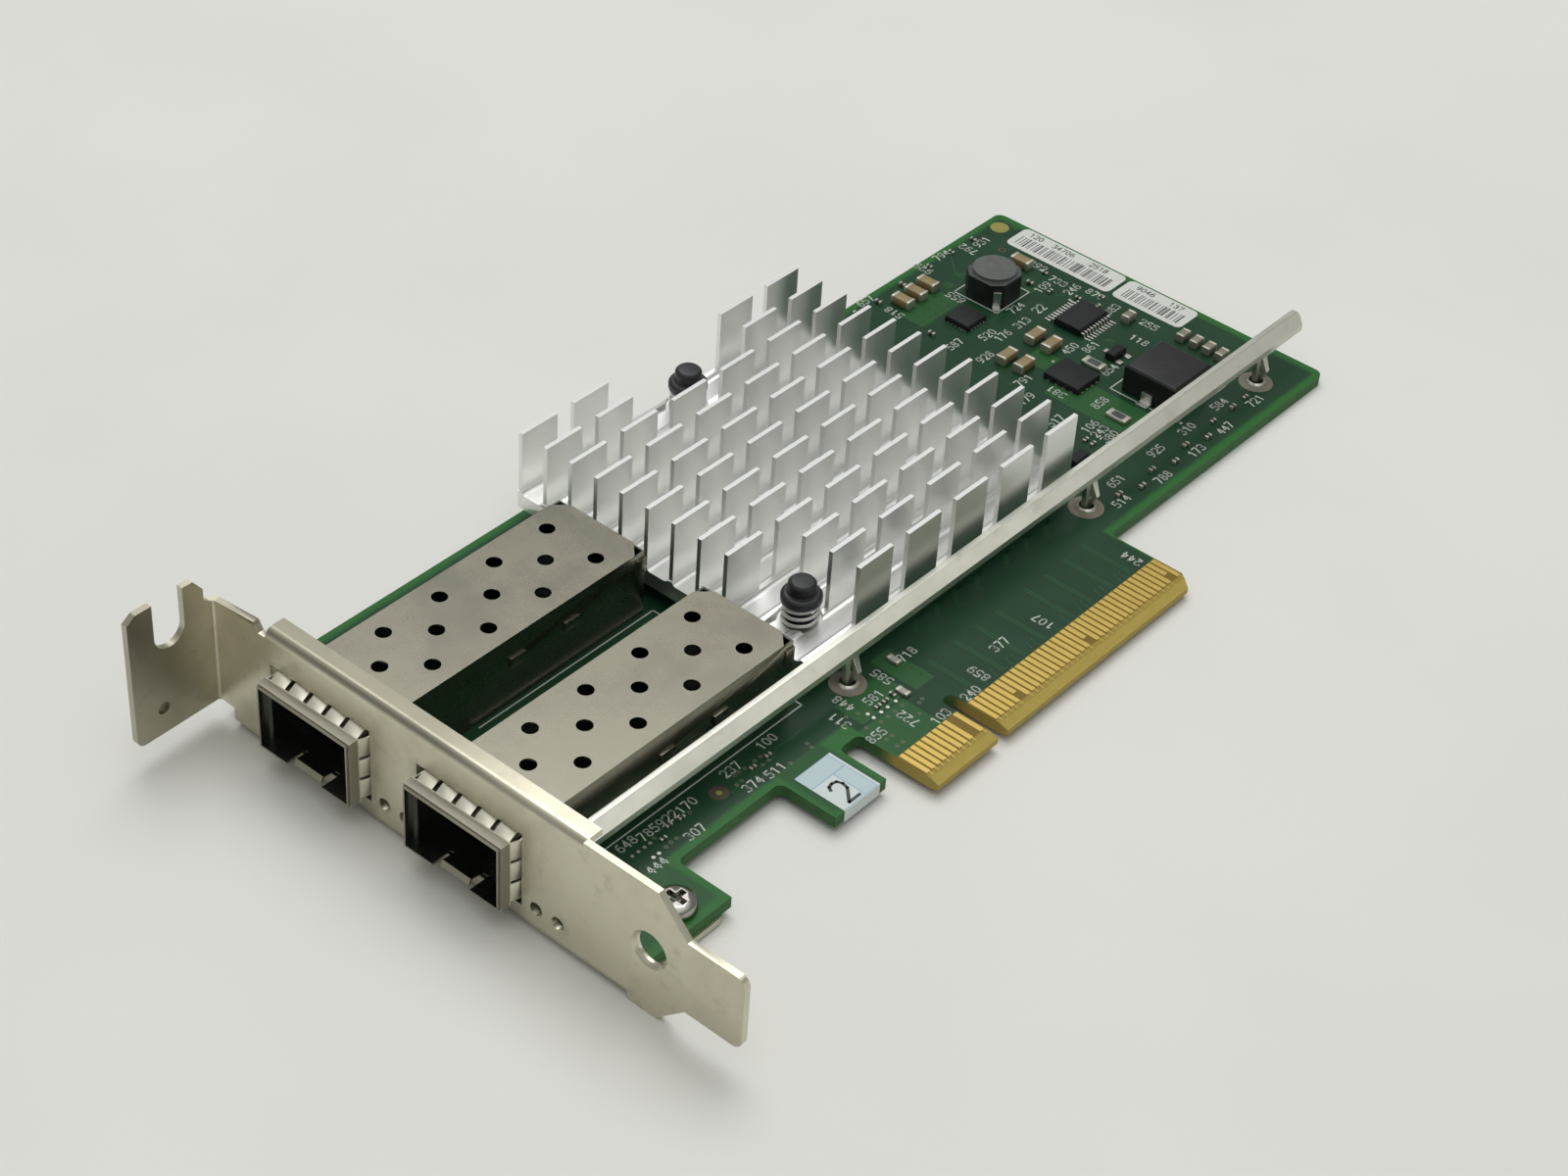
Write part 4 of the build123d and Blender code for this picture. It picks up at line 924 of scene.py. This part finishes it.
# %% [markdown]
# ## Labels and sticker
# Plain paper: a slightly uneven white with a soft sheen. The labels have rounded corners, which the
# CAD slabs leave out, so rounded slabs stand for them. Their bars and figures are black print: bars
# of random widths from a seeded generator, which gives the same bars on each run.

# %% Paper
def rounded_slab(x0, y0, x1, y1, z0, z1, radius, steps=6):
    """A closed slab: the rectangle's outline with a quarter circle of the radius at each corner, at
    two heights, joined by a wall of quads."""
    t = np.linspace(0, math.pi / 2, steps)
    rim = [np.c_[cx + radius * np.cos(t + a), cy + radius * np.sin(t + a)]
           for cx, cy, a in ((x1 - radius, y1 - radius, 0), (x0 + radius, y1 - radius, math.pi / 2),
                             (x0 + radius, y0 + radius, math.pi), (x1 - radius, y0 + radius, 1.5 * math.pi))]
    rim = np.vstack(rim)
    count = len(rim)
    points = np.vstack([np.c_[rim, np.full(count, z0)], np.c_[rim, np.full(count, z1)]]) * MM
    j = np.arange(count)
    k = (j + 1) % count
    return points, [j[::-1][None], (j + count)[None], np.c_[j, k, k + count, j + count]]


def paper_recipe(point):
    fibre = noise(point, 0.3, 3)
    stain = rising(noise(point, 3.5, 3), 0.45, 0.75)
    white = blend(fibre, (0.55, 0.565, 0.53), (0.61, 0.625, 0.59))
    return surface(blend(stain * 0.5, white, (0.50, 0.51, 0.47)), 0.42 + 0.1 * fibre, fibre, 0.004, 0.4)


def sticker_recipe(point):
    x, y = axes(point)[:2]
    fibre = noise(point, 0.3, 3)
    inside = between(x, -23.3, -17.5, 0.03) * between(y, 4.9, 12.2, 0.03)
    ring = between(x, -23.42, -17.38, 0.03) * between(y, 4.78, 12.32, 0.03) - inside
    down_line = between(x, -19.6, -19.46, 0.02) * (1 - rising(y, 9.6, 9.7))
    rule = either(between(y, 9.6, 9.74, 0.02), down_line) * inside
    tint = either(rising(y, 9.7, 9.74), rising(x, -19.5, -19.46)) * inside
    white = blend(fibre, (0.545, 0.605, 0.595), (0.60, 0.66, 0.65))
    color = blend(tint * 0.6, white, (0.36, 0.50, 0.56))
    color = blend((ring + rule) * 0.8, color, (0.16, 0.34, 0.50))
    return surface(color, 0.45 + 0.1 * fibre, fibre, 0.004, 0.4)


label_low, label_high = node_box("bar_labels")
labels = [(82.9, 45.6, label_high[0], 63.6), (82.9, label_low[1], label_high[0], 45.0)]
slabs = [rounded_slab(x0, y0, x1, y1, label_low[2], label_high[2], 0.9) for x0, y0, x1, y1 in labels]
add_drawn("paper_labels", slabs, finish("label_paper", paper_recipe), ("bar_labels",))
edged("hook_sticker", finish("sticker_paper", sticker_recipe), 0.04, 2)

# %% [markdown]
# Bars fill one side of each label, with plain figures beside them, and the sticker has one large figure.
# All of it is one mesh.

# %% Black print on paper
luck = np.random.default_rng(11)
bars, widths = [], []
for x0, y0, x1, y1 in labels:
    places = np.cumsum(luck.choice([0.30, 0.42, 0.56], 90)) + y0 + 0.9
    places = places[places < y1 - 1.0]
    bars.append(np.c_[np.full(len(places), x0 + 0.9), places, np.full(len(places), x0 + 3.1), places])
    widths.append(luck.choice([0.13, 0.13, 0.24], len(places)))
label_top = label_high[2] + 0.01
sticker_top = node_box("hook_sticker")[1][2] + 0.01
label_figures = [(61.0, 120), (56.2, 34706), (50.0, 2518), (41.8, 9046), (36.6, 137)]
figures = [number_lines(87.1, y, 3, 0.95, number) for y, number in label_figures]
black = [
    ink_lines(np.vstack(bars), np.concatenate(widths), label_top),
    ink_lines(np.vstack(figures), 0.14, label_top),
    ink_lines(number_lines(-20.9, 7.0, 0, 3.4, 2), 0.42, sticker_top),
]
black_ink = finish("black_ink", moulded((0.030, 0.031, 0.033), (0.055, 0.056, 0.058), 0.25, 0.003, 0.5))
add_drawn("black_print", black, black_ink)

# %% [markdown]
# ## White print on the board
# Beside each part stands its number, and thin outlines show where the large parts go. The lists say
# where each mark stands, grouped by the way it reads: along the card, up it, or down it.

# %% White print
marks_along = [
    (-20.6, 18.8), (-27.1, 18.6), (-27.1, 15.2), (-23.6, 14.9), (-44.3, 18.9), (-41.2, 18.4),
    (-38.1, 18.4), (-35.0, 18.3), (-37.5, 14.7), (-44.4, 14.2), (-6.0, 14.8), (2.9, 16.9),
    (-10.9, 10.3), (-3.0, 7.0), (2.7, 7.0), (12.2, 10.0), (45.7, 16.1), (48.6, 19.1), (53.7, 15.2),
    (57.7, 19.2), (61.6, 15.4), (64.6, 19.1), (68.4, 15.6), (72.3, 19.2), (76.4, 16.2), (61.1, 30.8),
    (55.9, 28.6), (55.9, 27.0), (55.9, 25.4), (53.6, 32.6), (68.2, 34.4), (57.9, 41.2), (58.5, 48.2),
    (64.3, 49.6), (68.6, 49.6), (68.4, 41.2), (57.9, 53.0), (70.9, 52.4), (70.7, 39.4), (77.7, 52.9),
    (80.2, 49.6), (80.2, 42.7), (62.9, 51.2), (57.2, 68.2), (73.8, 67.9), (80.6, 66.0), (54.8, 38.4)]
marks_up = [
    (-12.0, 15.0), (-9.3, 16.6), (-2.4, 16.4), (-6.0, 9.5), (6.2, 8.5), (19.3, 8.8), (37.0, 8.2),
    (58.9, 36.4), (57.9, 63.6), (66.9, 59.9), (77.8, 66.2), (69.3, 67.6)]
marks_down = [(80.4, 52.2), (81.6, 46.6), (76.8, 35.6), (80.8, 36.8), (81.5, 56.6)]
ink = []
for turn, places in ((0, marks_along), (1, marks_up), (3, marks_down)):
    for n, (x, y) in enumerate(places):
        ink.append(number_lines(x, y, turn, 1.25, 100 + (n * 137 + turn * 211) % 889))
ink.append(number_lines(73.0, 50.0, 0, 1.4, 22))
ink.append(path_lines((-56.0, 20.0, -12.9, 20.0, -12.9, 21.2)))
ink.append(path_lines((-42.0, 44.1, -12.4, 44.1, -12.4, 42.6)))
frames = [outline(67.95, 53.45, 75.35, 60.95), outline(64.8, 21.0, 76.4, 31.8),
          path_lines((61.4, 54.6, 61.4, 53.7, 62.2, 53.7))]
white = [ink_lines(np.vstack(ink), 0.19), ink_lines(np.vstack(frames), 0.17)]


def ink_recipe(point):
    patchy = noise(point, 0.25, 3, 0.7)
    color = blend(patchy, (0.40, 0.44, 0.39), (0.58, 0.61, 0.56))
    return surface(color, 0.45 + 0.2 * patchy, patchy, 0.005)


add_drawn("white_print", white, finish("white_ink", ink_recipe))

# %% [markdown]
# ## Tracks under the varnish
# Copper tracks show through the varnish as lines of a lighter green. They run in pairs, a third of a
# millimetre apart, straight up from the contacts, and turn towards the chip further in.

# %% Tracks
def clouded(first, second, size, rough, spread, strength=0.5):
    """Return a recipe: two tones, gloss and a shallow grain that all follow one cloud."""

    def recipe(point):
        cloud = noise(point, size, 2)
        return surface(blend(cloud, first, second), rough + spread * cloud, cloud, 0.004, strength)

    return recipe


def track_pair(x, low, high):
    """Two lines side by side, up from the contacts."""
    return np.vstack([path_lines((x + side, low, x + side, high)) for side in (-0.2, 0.2)])


def track_bend(x, y, run, rise):
    """Two lines that leave a via pair upwards and turn along the card by 45 degrees."""
    return np.vstack([path_lines((x + side, y, x + side, y + 0.9, x + side + rise, y + 0.9 + rise,
                                  x + side + rise + run, y + 0.9 + rise)) for side in (-0.22, 0.22)])


pair_xs = [3.8, 8.9, 12.9, 16.9, 22.7, 26.7, 30.8, 34.8]
bend_xs = [6.9, 11.0, 14.7, 18.9, 24.8, 29.0, 33.0]
tracks = [track_pair(x, 6.7, 14.2) for x in pair_xs] + [track_bend(x, 17.6, 1.6, 1.8) for x in bend_xs]
stub_xs = [x for x in tail_x if 1 < x < 38 and min(abs(x - pair) for pair in pair_xs) > 0.9]
tracks += [path_lines((x, 6.5, x, 7.5, x + 0.35, 7.9)) for x in stub_xs]
tracks += [path_lines((x, 6.5, x, 9.0, x - 0.6, 9.6)) for x in (-9.5, -7.5, -4.5)]
tracks += [path_lines((-30.0, 16.0, -28.9, 16.0, -28.0, 16.9))]
tracks += [path_lines((-26.0, 16.4, -22.0, 16.4, -21.2, 17.2, -16, 17.2))]
tracks += [path_lines((x, 66.6, x - 3.2, 63.4, x - 3.2, 62.0)) for x in (74.5, 79.4)]
tracks += [path_lines((77.2, 50.6, 78.6, 49.2, 78.6, 48.2)), path_lines((66.0, 53.0, 68.6, 52.6, 69.4, 51.8))]
track_coat = clouded((0.016, 0.070, 0.026), (0.024, 0.095, 0.034), 1.5, 0.26, 0.08, 0.4)
track_green = finish("track_green", track_coat, Specular_IOR_Level=0.2)
track_quads = ink_lines(np.vstack(tracks), 0.17, BOARD_TOP + 0.006)
add_drawn("buried_tracks", [track_quads], track_green)

# %% [markdown]
# ## Pads and vias
# Around the chips lie bare tinned pads and drilled vias. A flat disc, ring or soft box for each, in one
# mesh per finish, keeps the scene light.

# %% Discs, rings and feet
def flat_discs(places, radius, z=INK_Z, sides=12):
    """Discs facing up: the points (r cos t, r sin t) round each place, one many-sided face each."""
    t = np.linspace(0, 2 * math.pi, sides, endpoint=False)
    places = np.asarray(places, float)
    ring = np.stack([places[:, None, 0] + radius * np.cos(t), places[:, None, 1] + radius * np.sin(t)], -1)
    points = lifted(ring, z)
    return points, [np.arange(len(points)).reshape(-1, sides)]


def flat_rings(places, inner, outer, z=INK_Z, sides=24):
    """Rings facing up: two circles of points joined by quads."""
    t = np.linspace(0, 2 * math.pi, sides, endpoint=False)
    radii = np.array([inner, outer])[:, None]
    circle = np.stack([radii * np.cos(t), radii * np.sin(t)], -1)
    places = np.asarray(places, float)[:, None, None]
    points = lifted(circle[None] + places, z)
    j = np.arange(sides)
    quads = np.c_[j, sides + j, sides + (j + 1) % sides, (j + 1) % sides]
    return points, [(quads[None] + (np.arange(len(places)) * 2 * sides)[:, None, None]).reshape(-1, 4)]


def foot_pads(node, side, count, pitch, size):
    """Soft boxes for the tinned feet that stick out from under one side of a chip."""
    low, high = node_box(node)
    middle = (low + high) / 2
    run = (np.arange(count) - (count - 1) / 2) * pitch
    z = np.full(count, BOARD_TOP + 0.08)
    if side in ("front", "back"):
        y = low[1] if side == "front" else high[1]
        return np.c_[middle[0] + run, np.full(count, y), z], np.tile([size, 0.5, 0.16], (count, 1))
    x = low[0] if side == "left" else high[0]
    return np.c_[np.full(count, x), middle[1] + run, z], np.tile([0.5, size, 0.16], (count, 1))


print("pads ready")

# %% [markdown]
# A chip's feet show on three or four of its sides. They are set out from the chip's own box, so they
# follow it. The loose pads are given by their places.

# %% Bare pads
feet = [foot_pads("memory_chip", side, 4, 1.27, 0.5) for side in ("left", "right")]
feet += [foot_pads("memory_chip", side, 4, 1.1, 0.5) for side in ("front", "back")]
feet += [foot_pads("regulator_chip", side, 5, 0.65, 0.3) for side in ("front", "back", "left")]
leg_x, leg_y = (sum(corner[axis] for corner in node_box("transistor")) / 2 for axis in (0, 1))
leg_z = BOARD_TOP + 0.1
legs = [(leg_x + dx, leg_y + dy, leg_z) for dx, dy in ((-0.95, -1.35), (0.95, -1.35), (0, 1.35))]
feet.append((np.array(legs), np.array([(0.9, 1.0, 0.2)] * 3)))
bright_dots = [
    (-45.2, 17.1), (-44.2, 17.1), (-43.2, 17.1), (-42.3, 17.1), (-43.7, 15.3), (-42.8, 15.3), (65.1, 20.4),
    (-8.7, 13.4), (-8.7, 12.5), (-7.3, 12.5), (-6.1, 12.5), (-4.6, 12.5), (64.3, 41.0), (77.9, 48.3)]
pad_parts = [soft_boxes(c, s, rows=5, columns=12) for c, s in feet] + [flat_discs(bright_dots, 0.24)]
add_drawn("bare_pads", pad_parts, solder)

# %% [markdown]
# A via is a drilled hole a third of a millimetre wide; the shade inside it is painted as a flat dark disc.
# The tracks end in low arches of them, and the copper below the power chip has a whole grid.

# %% Drilled vias
def arc_of_vias(x, y):
    """Six drilled holes in a low arch round a track pair."""
    return np.array([(-1.0, 0), (-0.8, 0.7), (-0.3, 1.1), (0.3, 1.1), (0.8, 0.7), (1.0, 0)]) + (x, y)


via_spots = [arc_of_vias(x, 14.4) for x in pair_xs] + [arc_of_vias(x, 16.6)[1:5] for x in bend_xs]
grid_x, grid_y = np.meshgrid(np.arange(59.2, 66.0, 1.35), np.arange(59.4, 62.8, 1.35))
via_spots.append(np.c_[grid_x.ravel() + 0.3 * (grid_y.ravel() > 60), grid_y.ravel()])
via_spots.append([(61.3, 33.0), (62.6, 33.0), (63.9, 33.0), (58.2, 33.8), (1.3, 13.4), (1.4, 15.0),
                  (62.2, 42.2), (63.4, 42.6)])
# Painted shade: a near-black disc stands for the shade inside each hole.
hole_shade = finish("via_hole_shade", clouded((0.004, 0.012, 0.006), (0.008, 0.022, 0.010), 0.4, 0.5, 0.2))
via_discs = flat_discs(np.vstack(via_spots), 0.17, BOARD_TOP + 0.008, 8)
add_drawn("via_hole_shade_discs", [via_discs], hole_shade)

# %% [markdown]
# ## Tiny parts
# The smallest parts are one or two millimetres long: plated bars like the capacitors, only smaller.
# The two large resistors also get a thin black coat of glass on top.

# %% Tiny parts
tiny_x = [
    (68.4, 17.5), (76.0, 17.5), (-40.9, 16.4), (-38.9, 17.4), (-37.0, 17.2), (-7.0, 13.3), (-5.6, 13.3),
    (-25.2, 16.9), (-22.4, 17.0), (52.9, 27.1), (52.9, 25.9), (77.4, 51.4), (79.2, 44.4)]
tiny_y = [(70.2, 67.2), (75.3, 67.3), (80.1, 67.1), (80.6, 54.7), (78.9, 47.6), (81.4, 45.4), (-4.1, 13.4)]
plated_bars("tiny_bars", None, tiny_x, tiny_y, (0.9, 0.45, 0.35, 0.25), black_ink)
fuse_y = [(0.8, 17.2), (-2.9, 12.8)]
plated_bars("fuse_bars", None, [], fuse_y, (1.8, 0.9, 0.45, 0.5), resistor_white)
glass_z = BOARD_TOP + 0.56
glass_tops = soft_boxes([(x, y, glass_z) for x, y in resistor_y], [(1.15, 1.9, 0.06)] * len(resistor_y))
add_drawn("resistor_glass", [glass_tops], black_ink, smooth=True)

# %% [markdown]
# ## Test points
# A bare copper disc helps the machine that places the parts to aim, and round a test point the varnish
# is left open as a ring.

# %% Rings and discs
dark_ring = finish("bare_ring", clouded((0.030, 0.022, 0.012), (0.060, 0.045, 0.022), 0.6, 0.4, 0.2))
bare_copper = finish("bare_copper", clouded((0.20, 0.19, 0.03), (0.28, 0.26, 0.05), 0.6, 0.3, 0.2))
rings = [flat_rings([(-30.9, 17.0)], 0.4, 1.2), flat_rings([(81.1, 62.7)], 0.3, 0.6)]
add_drawn("test_rings", rings, dark_ring)
aim = [flat_discs([(85.5, 66.5)], 1.35, sides=32), flat_discs([(-30.9, 17.0)], 0.38, INK_Z + 0.003)]
add_drawn("aiming_discs", aim, bare_copper)

# %% [markdown]
# Pads that no part stands on are dull tin with a drilled middle, so they are small rings.

# %% Dim pads
dim_dots = [
    (-41.4, 17.3), (-41.5, 15.4), (-40.6, 15.5), (-39.7, 15.5), (-28.5, 16.4), (-27.5, 17.6), (-26.7, 17.7),
    (-25.8, 17.6), (-27.6, 16.5), (-24.0, 17.6), (-23.0, 17.6), (-23.9, 16.5), (-22.8, 16.5), (-21.5, 14.4),
    (-17.7, 14.4), (-17.6, 15.2), (-10.7, 12.0), (-8.7, 11.4), (-7.4, 11.4), (-6.1, 11.4), (-4.6, 11.5),
    (-10.9, 14.9), (-9.4, 14.3), (-4.4, 9.1), (-2.1, 10.5), (-2.9, 10.3), (-36.6, 17.2), (-35.6, 17.2),
    (-10.6, 9.0), (-9.6, 9.0), (-10.6, 7.4), (-9.6, 7.4)]
dim_tin = finish("dim_pad", clouded((0.070, 0.085, 0.045), (0.110, 0.125, 0.070), 0.5, 0.35, 0.2))
add_drawn("dim_pads", [flat_rings(dim_dots, 0.11, 0.27, sides=12)], dim_tin)
